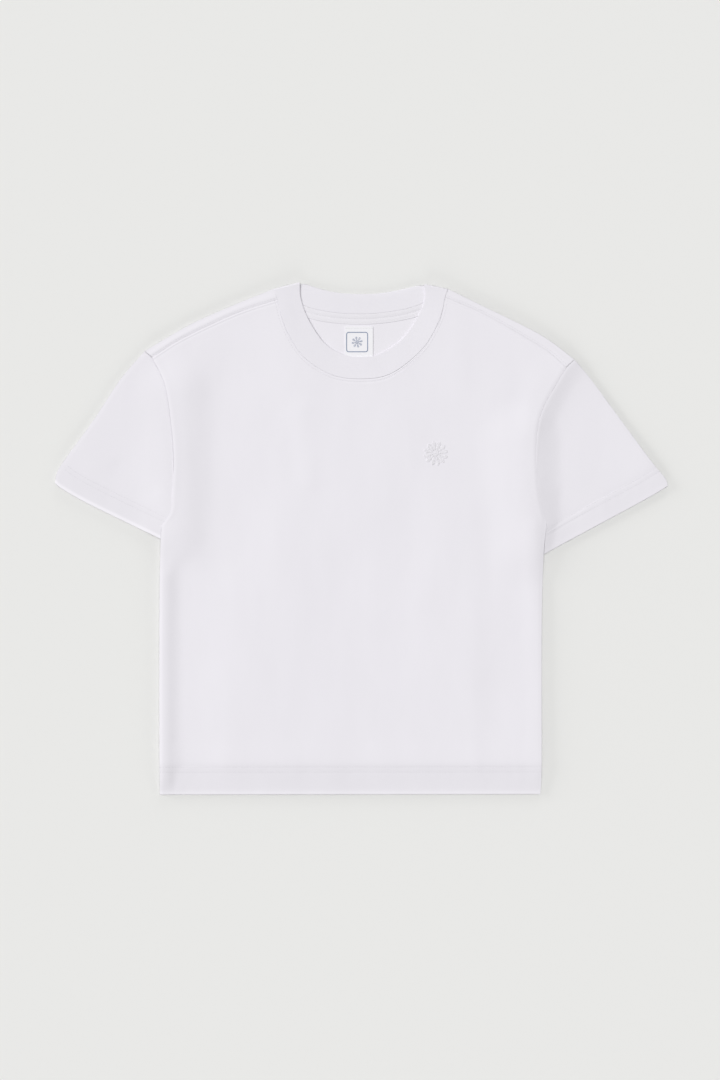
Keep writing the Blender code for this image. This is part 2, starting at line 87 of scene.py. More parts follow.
# %% [markdown]
# ## Light and floor
#
# A catalogue picture of white cloth on pale paper has very little contrast. Most of the light is an even
# white room. The cloth also has one large softbox, high on the left, so small steps and creases turn a
# little lighter or darker. The paper has a panel overhead and four low ones, whose light the T-shirt stops:
# that is the soft shadow round it. Light linking keeps the two sets apart, because low light on the cloth
# would burn out its edges. All panels are far away, so the paper is evenly bright. The Standard view keeps
# whites as they are measured, where a filmic curve would grey them.

# %% Light and floor
ROOM = 0.36               # strength of the even room light
PANEL_AWAY = 100.0        # metres
FLOOR_REACH = 15.0        # metres, so that its edge never shows
FLOOR_COLOUR = (0.790, 0.790, 0.776, 1)

Panel = namedtuple("Panel", "name lights bearing rise wide high share")
PANELS = (      # what each lights, where it stands, in degrees, and its light as a share of a white room
    Panel("softbox", "cloth", 150, 55, 90.0, 90.0, 0.824),
    Panel("overhead", "paper", 90, 89, 90.0, 90.0, 0.608),
    Panel("left", "paper", 165, 6.5, 60.0, 20.0, 0.085),
    Panel("head", "paper", 80, 7, 60.0, 20.0, 0.035),
    Panel("foot", "paper", 262, 9, 60.0, 20.0, 0.055),
    Panel("right", "paper", 345, 12, 60.0, 20.0, 0.026),
)


def new_material(name, settings):
    """A material, its tree and its shader, with the settings on the shader's inputs."""
    material = bpy.data.materials.new(name)
    material.use_nodes = True
    shader = material.node_tree.nodes["Principled BSDF"]
    for title, value in settings.items():
        shader.inputs[title].default_value = value
    return material, material.node_tree, shader


scene.view_settings.view_transform = "Standard"
scene.view_settings.look = "None"
scene.world = bpy.data.worlds.new("white_room")
scene.world.use_nodes = True
room = scene.world.node_tree.nodes["Background"]
room.inputs["Color"].default_value = (1, 1, 1, 1)
room.inputs["Strength"].default_value = ROOM

floor_mesh = bpy.data.meshes.new("floor")
floor_corners = [(FLOOR_REACH * x, FLOOR_REACH * y, 0) for x, y in ((-1, -1), (1, -1), (1, 1), (-1, 1))]
floor_mesh.from_pydata(floor_corners, [], [(0, 1, 2, 3)])
floor = put("floor", floor_mesh)
floor_mesh.materials.append(new_material("pale_paper", {
    "Base Color": FLOOR_COLOUR, "Roughness": 0.9, "Specular IOR Level": 0.1})[0])

receivers = {}
for lights, state in (("paper", "INCLUDE"), ("cloth", "EXCLUDE")):
    receivers[lights] = bpy.data.collections.new(f"lit_{lights}")
    receivers[lights].objects.link(floor)
    receivers[lights].collection_objects[0].light_linking.link_state = state

for name, lights, bearing, rise, wide, high, share in PANELS:
    light = bpy.data.lights.new(f"{name}_panel", "AREA")
    light.shape = "RECTANGLE"
    light.size, light.size_y = wide, high
    light.energy = share * (math.pi * PANEL_AWAY) ** 2 / math.sin(math.radians(rise))
    turn = math.radians(bearing)
    way = Vector((math.cos(turn), math.sin(turn), math.tan(math.radians(rise)))).normalized()
    panel = put(f"{name}_panel", light)
    panel.location = way * PANEL_AWAY
    panel.rotation_euler = (-way).to_track_quat("-Z", "Y").to_euler()
    panel.light_linking.receiver_collection = receivers[lights]
print("floor,", len(PANELS), "far panels, room strength", ROOM)

# %% [markdown]
# ## The outline
#
# The T-shirt's outline is a set of smooth lines: hem, sides, armholes, shoulders, neck and sleeves. They
# pass through the same points as in the CAD model, so the cloth lands on the solids. Only the cuffs stand
# up to 4 mm further out. Each line is a short row of points, and a Catmull-Rom curve runs through them.
# Bezier handles would give the same line with three times the numbers.

# %% Outline of the pieces
ORIGIN = (0.5, -0.07)       # the middle of these tables, which becomes the origin
HEM_LEFT, HEM_RIGHT = (-201.4, -256.0), (178.9, -255.6)
SIDE_LEFT = (HEM_LEFT, (-201.8, -170.0), (-201.6, -60.0), (-200.7, -10.0), (-199.7, 12.5))
SIDE_RIGHT = (HEM_RIGHT, (180.3, -225.0), (180.3, -90.0), (182.0, -20.0), (185.1, 13.5))
JOIN_LEFT, JOIN_RIGHT = (-209.0, 180.9), (204.9, 171.2)          # shoulder seam meets armhole
ARM_TOP_LEFT, ARM_TOP_RIGHT = (-216.6, 187.2), (213.1, 178.9)    # armhole passes over the shoulder
ARMHOLE_LEFT = (
    SIDE_LEFT[-1], (-190.6, 26.5), (-188.4, 50.0), (-187.2, 79.0), (-189.6, 112.0), (-196.0, 152.5),
    JOIN_LEFT,
)
ARMHOLE_RIGHT = (
    SIDE_RIGHT[-1], (177.7, 42.5), (175.0, 74.0), (175.5, 104.5), (181.0, 129.0), (193.7, 152.5),
    JOIN_RIGHT,
)
NECK_JOIN_LEFT, NECK_JOIN_RIGHT = (-84.0, 238.8), (83.8, 241.2)  # shoulder seam meets neckband
SHOULDER_LEFT = (JOIN_LEFT, (-178.3, 200.1), (-126.3, 224.5), NECK_JOIN_LEFT)
SHOULDER_RIGHT = (NECK_JOIN_RIGHT, (126.0, 222.6), (182.7, 189.5), JOIN_RIGHT)
CORNER_LEFT, CORNER_RIGHT = (-87.5, 249.5), (86.4, 249.5)        # neck seam passes over the shoulder
FOLD_LEFT = (ARM_TOP_LEFT, (-171.3, 213.6), (-131.3, 231.6), CORNER_LEFT)
FOLD_RIGHT = (CORNER_RIGHT, (118.7, 233.6), (178.7, 203.7), ARM_TOP_RIGHT)
NECK_FRONT = (
    NECK_JOIN_LEFT, (-75.3, 209.5), (-57.6, 181.6), (-30.0, 163.8), (0.2, 159.5),
    (30.0, 165.0), (60.6, 189.0), (77.7, 217.5), NECK_JOIN_RIGHT,
)
NECK_BACK = (CORNER_LEFT, (-49.3, 230.2), (0.2, 224.5), (50.7, 231.2), CORNER_RIGHT)
BAND_FRONT_EDGE = (
    (-61.8, 256.2), (-60.3, 239.5), (-52.8, 219.0), (-37.0, 195.5), (-17.0, 183.6), (0.7, 181.5),
    (19.0, 184.6), (42.7, 201.0), (58.7, 226.0), (63.6, 240.0), (63.2, 254.4),
)
BAND_BACK_EDGE = ((-61.8, 256.2), (-29.3, 246.7), (0.2, 244.4), (26.7, 246.4), (63.2, 254.4))
SLEEVE_LEFT_TOP = (
    ARM_TOP_LEFT, (-241.0, 158.5), (-267.4, 118.5), (-296.4, 78.5), (-304.0, 66.0), (-306.2, 55.6),
)
SLEEVE_LEFT_CUFF = ((-200.8, -0.2), (-236.1, 16.8), (-277.1, 37.0), (-298.8, 49.6), SLEEVE_LEFT_TOP[-1])
SLEEVE_RIGHT_TOP = (
    ARM_TOP_RIGHT, (229.7, 158.7), (259.3, 118.5), (288.9, 78.5), (303.6, 60.5), (306.4, 52.8),
)
SLEEVE_RIGHT_CUFF = (
    (182.6, -15.8), (208.7, -1.5), (245.7, 18.4), (282.7, 38.4), (301.5, 49.4), SLEEVE_RIGHT_TOP[-1],
)


def smooth(points, per_span=24):
    """Points close together on the smooth curve through the given ones."""
    path = np.array(points, float)
    path = np.vstack([2 * path[0] - path[1], path, 2 * path[-1] - path[-2]])
    t = np.arange(per_span)[:, None] / per_span
    spans = [
        0.5 * (2 * b + (c - a) * t + (2 * a - 5 * b + 4 * c - d) * t**2 + (3 * b - a - 3 * c + d) * t**3)
        for a, b, c, d in zip(path, path[1:], path[2:], path[3:])
    ]
    return np.vstack([*spans, path[-2]])


def run(points, axis=0):
    """How far along a line, or along a grid's rows or columns, each of its points is."""
    steps = np.diff(points, axis=axis, prepend=np.take(points, [0], axis))
    return np.cumsum(np.linalg.norm(steps, axis=-1), axis=axis)


def reach(line):
    return run(line)[-1]


def at(line, places):
    """The points at these distances along a line."""
    far = run(line)
    return np.stack([np.interp(places, far, line[:, k]) for k in range(line.shape[1])], axis=-1)


def unit(ways):
    """The same directions, each of length 1."""
    return ways / np.linalg.norm(ways, axis=-1, keepdims=True)


def smooth_side(line, towards):
    """The level direction square to a line at each of its points, on the side of other points."""
    along = np.gradient(line, axis=0)
    side = unit(np.stack([-along[:, 1], along[:, 0]], axis=-1))
    return side * np.sign(np.sum(side * (towards - line), axis=-1, keepdims=True))


print(f"armhole {reach(smooth(ARMHOLE_LEFT)):.0f} mm, front of the neck {reach(smooth(NECK_FRONT)):.0f} mm")

# %% [markdown]
# ## How high the cloth lies
#
# Cloth that is laid by hand keeps broad, shallow folds. Here each is one row of a table: a line from one
# end to the other, how wide its two flanks are, and how much it lifts or sinks the cloth. A cloth
# simulation would give other folds at each change of a setting, and these are only 0.3 to 3 mm high, so
# they are given one by one. They differ in length, depth and spacing, as real ones do.

# %% Folds of the front and of the underside
LOFT = 3.1                # height of the front's face where it lies plain
EDGE_FALL = 0.2           # how much lower it is at a folded edge
LEAST_LOFT = 1.6

Fold = namedtuple("Fold", "x0 y0 x1 y1 left right rise")     # left and right as seen from the first end
FOLDS = (
    Fold(-189.0, 12.0, -186.0, 145.0, 46.0, 42.0, 2.7),       # crest along the left armhole
    Fold(-139.0, -10.0, -135.0, 150.0, 42.0, 70.0, -1.2),     # dip beside it
    Fold(-196.5, -240.0, -196.5, -40.0, 10.0, 10.0, 0.5),     # rolled left side
    Fold(-199.0, -245.0, -199.0, -36.0, 20.0, 18.0, 1.0),
    Fold(-176.0, -235.0, -176.0, -40.0, 18.0, 50.0, -1.4),    # trough inside it
    Fold(179.0, -235.0, 173.0, 10.0, 18.0, 10.0, 0.5),        # narrow ridge inside the right side
    Fold(171.0, -5.0, 167.0, 95.0, 56.0, 38.0, 3.1),          # crest along the right armhole
    Fold(178.0, 125.0, 201.0, 168.0, 34.0, 22.0, 1.4),
    Fold(214.0, -5.0, 216.0, 130.0, 56.0, 120.0, -1.8),       # hollow in the right sleeve
    Fold(136.0, -190.0, 134.0, -20.0, 30.0, 150.0, -0.8),     # the right side lies lower
    Fold(-100.0, -170.0, -95.0, -30.0, 60.0, 80.0, 0.5),      # low swell on the lower left
    Fold(-52.0, 60.0, -60.0, 125.0, 18.0, 22.0, 0.5),         # soft line below the neck
    Fold(30.0, -90.0, 60.0, 60.0, 34.0, 40.0, -0.4),
    Fold(-180.0, -219.0, 160.0, -221.0, 22.0, 14.0, 0.3),     # the body stands up above the hem
    Fold(-302.0, 72.0, -226.0, 182.0, 30.0, 46.0, 0.3),       # crown along the left sleeve's fold
    Fold(205.0, 40.0, 235.0, 50.0, 16.0, 18.0, -0.4),         # drag lines in the sleeves
    Fold(-240.0, 70.0, -212.0, 50.0, 16.0, 18.0, -0.4),
)
UNDER_FOLDS = (               # where the back doesn't quite touch the surface
    Fold(-120.0, -200.0, -60.0, 60.0, 26.0, 34.0, 0.5),
    Fold(90.0, -180.0, 130.0, 90.0, 40.0, 34.0, 0.45),
    Fold(10.0, 60.0, -20.0, 190.0, 26.0, 22.0, 0.35),
    Fold(-150.0, 150.0, -60.0, 120.0, 18.0, 14.0, 0.3),
    Fold(20.0, -120.0, 60.0, -10.0, 20.0, 26.0, 0.3),
    Fold(-245.0, 60.0, -220.0, 140.0, 16.0, 20.0, 0.35),
    Fold(220.0, 30.0, 250.0, 110.0, 20.0, 16.0, 0.4),
)


def folded(x, y, folds):
    """What a table of folds adds to the height at x, y."""
    height = np.zeros_like(x)
    for f in folds:
        dx, dy = f.x1 - f.x0, f.y1 - f.y0
        long = math.hypot(dx, dy)
        along = ((x - f.x0) * dx + (y - f.y0) * dy) / long
        aside = ((x - f.x0) * dy - (y - f.y0) * dx) / long
        past = (along - np.clip(along, 0, long)) / (0.5 * (f.left + f.right))
        away = np.hypot(past, aside / np.where(aside > 0, f.right, f.left))
        height += f.rise * 0.5 * (1 + np.cos(np.pi * np.minimum(away, 1)))
    return height


def edge_fall(away, wide=4.0):
    """How much lower the cloth lies near a folded edge."""
    return -EDGE_FALL * 0.5 * (1 + np.cos(np.pi * np.clip(away / wide, 0, 1)))


def ripple(x, y, size, seed):
    """Small uneven waves, about size across, from -1 to 1."""
    flat = zip(np.ravel(x) / size, np.ravel(y) / size)
    return np.array([noise.noise((u, v, seed)) for u, v in flat]).reshape(np.shape(x))


def puckered(x, y):
    """The small waves that two rows of stitches leave in a hem."""
    return 0.10 * ripple(x, y * 0.4, 7, 12.0) + 0.05 * ripple(x, y, 3.4, 21.0)


def at_least(height, least):
    """Keep a height above a limit, with a soft bend."""
    return least + np.logaddexp(0, (height - least) * 5) / 5


def upper(x, y):
    """Height of the upper face: the front, the tops of the sleeves and the turned shoulders."""
    height = LOFT + folded(x, y, FOLDS)
    height += 0.22 * ripple(x, y, 46, 3.0) + 0.05 * ripple(x, y * 0.35, 11, 8.0)
    return at_least(height, LEAST_LOFT)


def lower(x, y):
    """Height of the underside, which rests on the surface apart from a few shallow hollows."""
    return folded(x, y, UNDER_FOLDS)


print(len(FOLDS), "folds above and", len(UNDER_FOLDS), "below")

# %% [markdown]
# ## Filling an outline with cloth
#
# A panel has four sides, so it can be filled with a grid: each point is mixed from the four lines round it.
# The grid's rows and columns then follow the seams, and they are closer together beside a seam or a rolled
# edge, where the cloth bends most. A flat cut-out with a remesh would have its points anywhere, and no
# clean edge.

# %% Grids
CLOSE = np.array((0.0, 0.25, 0.55, 0.9, 1.3, 1.8, 2.4, 3.2, 4.3))    # distances from a seam
NEAR_STITCHES = np.array((-4.0, -3.0, -2.2, -1.6, -1.1, -0.6, -0.2, 0.2, 0.6, 1.1, 1.6, 2.2, 3.0, 4.0))


def mixed(a, b, share):
    return a + (b - a) * share


def patch(foot, head, left, right):
    """A grid of points that fills the outline of four lines, row by row from foot to head."""
    u = (run(foot) / reach(foot) + run(head) / reach(head))[None, :, None] / 2
    v = (run(left) / reach(left) + run(right) / reach(right))[:, None, None] / 2
    across_foot, across_head = mixed(foot[0], foot[-1], u), mixed(head[0], head[-1], u)
    up_left, up_right = mixed(left[0], left[-1], v), mixed(right[0], right[-1], v)
    return (
        mixed(across_foot, across_head, v)
        + (foot[None] - across_foot) * (1 - v) ** 2
        + (head[None] - across_head) * v**2
        + (left[:, None] - up_left) * (1 - u) ** 2
        + (right[:, None] - up_right) * u**2
    )


def away_from(grid, edge):
    """How far each point of a grid is from the grid's foot, head, left or right edge."""
    lines = {"foot": grid[:1], "head": grid[-1:], "left": grid[:, :1], "right": grid[:, -1:]}
    return np.linalg.norm(grid[..., :2] - lines[edge][..., :2], axis=-1)


def cloth_object(name, points, uv, material, flip=False, closed=False, painted_shading=None):
    """A mesh from a grid of points in mm, with its UV map in metres, and the painted light and shade of its
    cloth.
    """
    rows, columns = points.shape[:2]
    place = np.arange(rows * columns).reshape(rows, columns)
    beside = np.roll(place, -1, axis=1) if closed else place[:, 1:]
    here = place if closed else place[:, :-1]
    quads = np.stack([here[:-1], beside[:-1], beside[1:], here[1:]], axis=-1).reshape(-1, 4)
    if flip:
        quads = quads[:, ::-1]
    corners = points.reshape(-1, 3) - (*ORIGIN, 0)
    mesh = bpy.data.meshes.new(name)
    mesh.from_pydata((corners * MM).tolist(), [], quads.tolist())
    layer = mesh.uv_layers.new(name="cloth")
    layer.data.foreach_set("uv", (uv.reshape(-1, 2)[quads.ravel()] * MM).ravel())
    if painted_shading is not None:
        layers = mesh.attributes.new("painted_shading", "FLOAT", "POINT")
        layers.data.foreach_set("value", painted_shading.ravel().astype(np.float32))
    mesh.shade_smooth()
    mesh.materials.append(material)
    return put(name, mesh)


def give_wall(piece, wall, thick=None, plain_share=1.0):
    """Turn the sheet into cloth of a real thickness, on the side away from its normals."""
    shell = piece.modifiers.new("wall", "SOLIDIFY")
    shell.thickness = wall * MM
    shell.offset = -1.0
    if thick is not None:
        group = piece.vertex_groups.new(name="turned_hem")
        group.add(np.flatnonzero(thick.ravel()).tolist(), 1.0, "REPLACE")
        shell.vertex_group = group.name
        shell.thickness_vertex_group = plain_share


print("rows beside a seam at", CLOSE)

# %% [markdown]
# ## Jersey
#
# Jersey is a fine knit: columns of small V shapes, called wales, about 14 to the centimetre, with about 18
# rows to the centimetre. Real loops would need millions of faces, so a bump gives their relief and the mesh
# keeps the folds. The pattern reads each piece's UV map, which is in metres along the cloth, so the wales
# run down the body and along each sleeve. The yarn is a little uneven, which a stretched noise shows as
# faint streaks. An attribute on each piece paints light and shade into the colour: above 0 it darkens the
# cloth a little, as painted shade over the hems and beside the right armhole. Below 0 it lightens it, as a
# painted highlight on the edges of hem, sides and left cuff.

# %% Jersey material
WALE = 0.00072
COURSE = 0.00056
LOOP_RELIEF = (0.00012, 0.25)     # depth in metres, and strength
JERSEY_COLOUR = (0.818, 0.799, 0.843)
# Painted light and shade: the colour is scaled down by this step for each unit of the attribute, and up where
# it is below 0.
PAINTED_SHADE_STEP = 0.035         # how much darker the cloth is where "double" is 1


def node(tree, kind, values=(), output=0, **settings):
    """Make a node with numbers or other nodes' outputs on its inputs, and return one of its outputs."""
    made = tree.nodes.new(kind)
    for setting, value in settings.items():
        setattr(made, setting, value)
    for socket, value in dict(values).items():
        if isinstance(value, bpy.types.NodeSocket):
            tree.links.new(value, made.inputs[socket])
        else:
            made.inputs[socket].default_value = value
    return made.outputs[output]


def math_node(tree, operation, *values):
    return node(tree, "ShaderNodeMath", enumerate(values), operation=operation)


def sine_wave(tree, value, length=1.0):
    return math_node(tree, "SINE", math_node(tree, "MULTIPLY", value, 2 * math.pi / length))


def uneven(tree, shader, colour, amount, scale, stretch):
    """A colour that varies a little, in soft uneven streaks, over the object."""
    place = node(tree, "ShaderNodeTexCoord", output="Object")
    place = node(tree, "ShaderNodeMapping", {"Vector": place, "Scale": stretch})
    cloud = node(tree, "ShaderNodeTexNoise", {"Vector": place, "Scale": scale, "Detail": 5}, "Fac")
    ramp = node(tree, "ShaderNodeValToRGB", {"Fac": cloud})
    for stop, position, share in zip(ramp.node.color_ramp.elements, (0.3, 0.7), (1 - amount, 1 + amount)):
        stop.position = position
        stop.color = (*[min(1, c * share) for c in colour], 1)
    tree.links.new(ramp, shader.inputs["Base Color"])


def cloth_material(name, colour, roughness=0.9, sheen=0.25):
    """The start of a cloth material: its tree, its shader and the two directions of its UV map."""
    material, tree, shader = new_material(name, {
        "Roughness": roughness, "Specular IOR Level": 0.25, "Sheen Weight": sheen, "Sheen Roughness": 0.5})
    uv = node(tree, "ShaderNodeUVMap", uv_map="cloth")
    u = node(tree, "ShaderNodeSeparateXYZ", {"Vector": uv}, "X")
    uneven(tree, shader, colour, 0.012, 26, (1.0, 0.35, 1.0))
    return material, tree, shader, u, u.node.outputs["Y"]


def relief(tree, shader, height, depth, strength):
    """Let a height pattern, from 0 to 1, show as a relief that is depth metres deep."""
    bump = node(tree, "ShaderNodeBump", {"Strength": strength, "Distance": depth, "Height": height})
    tree.links.new(bump, shader.inputs["Normal"])


def loops(tree, u, v, wale, course):
    """The height of knitted loops: rounded columns, crossed by V-shaped rows."""
    column = math_node(tree, "FRACT", math_node(tree, "DIVIDE", u, wale))
    side = math_node(tree, "ABSOLUTE", math_node(tree, "SUBTRACT", column, 0.5))
    row = math_node(tree, "ADD", math_node(tree, "DIVIDE", v, course), math_node(tree, "MULTIPLY", side, 1.1))
    height = math_node(tree, "MULTIPLY_ADD", sine_wave(tree, row), 0.22, 0.3)
    return math_node(tree, "MULTIPLY_ADD", sine_wave(tree, side), 0.48, height)


def make_jersey():
    material, tree, shader, u, v = cloth_material("white_jersey", JERSEY_COLOUR)
    # The attribute scales the colour: painted shade where it is above 0, painted highlight where it is below.
    painted_shading = node(tree, "ShaderNodeAttribute", output="Fac", attribute_name="painted_shading")
    shade = math_node(tree, "MULTIPLY_ADD", painted_shading, -PAINTED_SHADE_STEP, 1.0)
    colour = shader.inputs["Base Color"].links[0].from_socket
    shaded = node(tree, "ShaderNodeVectorMath", {"Vector": colour, "Scale": shade}, operation="SCALE")
    tree.links.new(shaded, shader.inputs["Base Color"])
    relief(tree, shader, loops(tree, u, v, WALE, COURSE), *LOOP_RELIEF)
    return material


jersey = make_jersey()
print(f"jersey with {0.01 / WALE:.0f} wales and {0.01 / COURSE:.0f} rows to the centimetre")

# %% [markdown]
# ## Edges, seams and hems
#
# Three small functions of the distance from an edge shape all the edges: a hill, a slope that fades away
# from the edge, and one that rises. Beside a seam the cloth dips, because the thread pulls it down, and
# next to that dip it stands up a little over the seam allowance folded inside. A hem is cloth turned under:
# it is double there, sinks onto the hem below it, has a round fold, and is dented and puckered by its two
# rows of stitches. The sides and the sleeves' folds roll over in a few small steps to meet the layer below.

# %% Edges, seams and hems
JERSEY_WALL = 0.7
HEM_WALL = 0.9
SEAM_GAP = 0.03
UNDER_DENT = 0.16         # depth of the stitches' dents on the underside
ROLL = 1.2                # how far in from a fold or a side seam the underside curves up
TOP_ROLL = 0.15           # the upper face turns over more tightly
MEETING = 1.7             # height at which the upper and the lower layer meet there
TURN_STEPS = 6
turn_angles = np.linspace(0, math.pi / 2, TURN_STEPS + 1)
TURN_IN = ROLL * (1 - np.cos(turn_angles))       # how far in each step of the turn is
TURN_UP = np.sin(turn_angles)                    # its share of the height, below and above
TOP_UP = np.sqrt(1 - np.clip(1 - TURN_IN / TOP_ROLL, 0, 1) ** 2)
NEAR_FOLD = np.concatenate([TURN_IN, ROLL + CLOSE[1:]])

# How deep a hem is turned and where its stitches run; how far it sinks, from how far past it and over what
# distance; how far its folded edge stands up again, and how wide and deep that edge's round is.
Hem = namedtuple("Hem", "depth stitches drop past soft lip edge_round edge_drop")
HEM = Hem(28.0, (27.4, 22.4), 1.4, 3, 26, 0.12, 0.8, 0.3)
CUFF = Hem(22.0, (21.4, 16.9), 0.8, 6, 22, 0.0, 1.0, 0.2)


def hill(away, where, wide):
    """A smooth hill, 1 high."""
    return np.exp(-(((away - where) / wide) ** 2))


def fading(away, limit, soft=None):
    """1 at the edge and 0 from the limit on. It changes over a soft distance before it, or all the way."""
    return np.clip((limit - away) / (soft or limit), 0, 1)


def rising(away, first, soft):
    """0 up to the first distance, and 1 from a soft distance past it."""
    return np.clip((away - first) / soft, 0, 1)


def seam_shape(away, dip=0.09, rise=0.14):
    """The cloth beside a seam: a narrow dip, and a soft ridge over the seam allowance."""
    return rise * hill(away, 3.4, 2.4) - dip * hill(away, 0, 1.0)


def stitch_dent(away, where, depth=0.12, wide=0.7):
    """The small dent that a row of stitches presses into the cloth."""
    return -depth * hill(away, where, wide)


def round_edge(away, radius, drop):
    """How far a folded edge curves down."""
    return -drop * (1 - np.sqrt(1 - fading(away, radius) ** 2))


def hemmed(height, x, y, away, hem):
    """The height of an upper layer with its hem."""
    height = height - hem.drop * fading(away, hem.depth + hem.past, hem.soft)
    height = at_least(height, np.where(away < hem.depth, 2 * HEM_WALL, 2 * JERSEY_WALL) + 0.1)
    height += hem.lip * hill(away, 1.4, 1.5) + round_edge(away, hem.edge_round, hem.edge_drop)
    height += sum(stitch_dent(away, row) for row in hem.stitches)
    return height + puckered(x, y) * fading(away, hem.depth + 6, 8) * rising(away, 0, 4)


def hemmed_below(x, y, away, hem):
    """The height of the underside with its hem."""
    dents = sum(stitch_dent(away, row, UNDER_DENT) for row in hem.stitches)
    return lower(x, y) - round_edge(away, 1.0, 0.35) - dents


def hem_band_shade(away, limit):
    """Where painted shade darkens a hem band: up to the limit, but not at its fold."""
    return fading(away, limit, 7) * rising(away, 1, 5)


def rolled_share(grid, turn, rows=slice(None), both=True):
    """The share of its height at which each point lies, less than 1 on the rolled right side, or on both."""
    share = np.ones(grid.shape[:2])
    share[rows, -TURN_STEPS - 1:] = turn[::-1]
    if both:
        share[rows, :TURN_STEPS + 1] = turn
    return share


def give_jersey_wall(piece, in_hem):
    give_wall(piece, HEM_WALL, in_hem, JERSEY_WALL / HEM_WALL)


print(f"hems {HEM.depth} and {CUFF.depth} mm deep, jersey {JERSEY_WALL} mm thick")

# %% [markdown]
# ## The front
#
# The front runs from the hem to the shoulder seams. Its grid has a row for each place up the sides and
# armholes, and a column for each place along the hem, which goes on to the shoulders and the neck. It is
# drawn back a hair's breadth from each seam, so that it doesn't cut into its neighbour.

# %% Front
NECK_STITCHES = 2.8
SIDE_ROWS, ARM_ROWS = 78, 62
SHOULDER_COLUMNS, NECK_COLUMNS = 46, 98
HEM_LINE = np.array([HEM_LEFT, HEM_RIGHT])


def side_places(line):
    """Places up a side seam, closer at the hem's fold and at its stitches."""
    stitches = HEM.depth - 2 + NEAR_STITCHES
    between = np.linspace(CLOSE[-1], stitches[0], round((stitches[0] - CLOSE[-1]) / 2.4) + 1)[1:-1]
    up_side = np.linspace(stitches[-1], reach(line), SIDE_ROWS + 1)[1:]
    return np.concatenate([CLOSE, between, stitches, up_side])


def panel_side(side, armhole):
    """One edge of a body panel: up the side seam, and on up the armhole."""
    side_line, arm_line = smooth(side), smooth(armhole)
    up_arm = np.linspace(0, reach(arm_line) - CLOSE[-1], ARM_ROWS)[1:]
    up_arm = np.concatenate([up_arm, reach(arm_line) - CLOSE[-2::-1]])
    return np.vstack([at(side_line, side_places(side_line)), at(arm_line, up_arm)])


def shoulder_row(points):
    """Points along a shoulder line that starts at the armhole, closer together at both ends."""
    line = smooth(points)
    inner = np.linspace(NEAR_FOLD[-1], reach(line) - 1.0, SHOULDER_COLUMNS - 1)[1:]
    return at(line, np.concatenate([NEAR_FOLD, inner, reach(line) - np.array((0.4, 0.1, 0.0))]))


def hem_row(columns):
    """As many points along the hem, closer together at the sides."""
    far = reach(HEM_LINE)
    inner = np.linspace(NEAR_FOLD[-1], far - NEAR_FOLD[-1], columns - 2 * len(NEAR_FOLD) + 2)[1:-1]
    return at(HEM_LINE, np.concatenate([NEAR_FOLD, inner, far - NEAR_FOLD[::-1]]))


def draw_back(grid, edge, span=slice(None)):
    """Move one edge of a grid inwards by the seam gap. The points beside it follow, less and less."""
    grid = {"left": grid, "right": grid[:, ::-1], "head": grid[::-1].transpose(1, 0, 2)}[edge]
    line = grid[:, 0].copy()
    side = smooth_side(line, grid[:, 14])
    follow = fading(np.linalg.norm(grid - line[:, None], axis=-1, keepdims=True), 6)
    grid[span] += (side[:, None] * SEAM_GAP * follow)[span]


left_edge, right_edge = panel_side(SIDE_LEFT, ARMHOLE_LEFT), panel_side(SIDE_RIGHT, ARMHOLE_RIGHT)
underarm_row = len(side_places(smooth(SIDE_LEFT)))
neck_line = smooth(NECK_FRONT)
front_head = np.vstack([
    shoulder_row(SHOULDER_LEFT), at(neck_line, np.linspace(0, reach(neck_line), NECK_COLUMNS))[1:-1],
    shoulder_row(SHOULDER_RIGHT[::-1])[::-1],
])
front_grid = patch(hem_row(len(front_head)), front_head, left_edge, right_edge)
for edge in ("left", "right"):
    draw_back(front_grid, edge, slice(underarm_row, None))
draw_back(front_grid, "head")
print("front", front_grid.shape[:2], "points; the underarm is at row", underarm_row)

# %% [markdown]
# ### The front's height, and its painted light and shade
#
# The height is a sum: the folds, the hem, the dip beside the neckband with its row of stitches, the armhole
# seams above the underarm, and the rolled sides below it. The tone is painted light and shade: painted shade
# over the hem band, and a painted highlight on the folded edge of the hem and on the sides below the
# underarm.

# %% Shape and finish the front
SIDE_GAP = 0.08           # half the gap between front and back at the sides
x, y = front_grid[..., 0], front_grid[..., 1]
from_hem, from_head = away_from(front_grid, "foot"), away_from(front_grid, "head")
from_side = np.minimum(away_from(front_grid, "left"), away_from(front_grid, "right"))
above_underarm = rising(np.arange(len(front_grid))[:, None], underarm_row - 1, 3)

front_height = hemmed(upper(x, y), x, y, from_hem, HEM)
front_height += seam_shape(from_head) + 0.12 * hill(from_head, 1.7, 0.8)
front_height += stitch_dent(from_head, NECK_STITCHES, 0.3, 0.6)
front_height += seam_shape(from_side) * above_underarm + edge_fall(from_side) * (1 - above_underarm)
front_z = mixed(MEETING + SIDE_GAP, front_height, rolled_share(front_grid, TOP_UP, slice(underarm_row)))

# Painted shade over the hem band, and a painted highlight on the hem's folded edge.
front_painted_shading = hem_band_shade(from_hem, HEM.depth + 5) - 0.7 * hill(from_hem, 0.8, 1.6)
# Painted highlight along the rolled sides below the underarm.
front_painted_shading -= 0.8 * hill(from_side, 0, 2.6) * (1 - above_underarm)
front = cloth_object("front_jersey", np.dstack([x, y, front_z]), front_grid, jersey, painted_shading=front_painted_shading)
give_jersey_wall(front, from_hem < HEM.depth)
print(f"front {np.ptp(x):.0f} x {np.ptp(y):.0f} mm, height {front_z.min():.1f} to {front_z.max():.1f} mm")

# %% [markdown]
# ## The back
#
# The back lies flat on the surface and turns over both shoulders, so the shoulder seams sit a little way
# down the front. The same grid fills its outline. The turned part is made of more rows: half a turn of
# small steps, then the strip that runs to the seam. Bending a finished flat sheet would be another way, but
# the rows put each seam exactly where the outline has it.

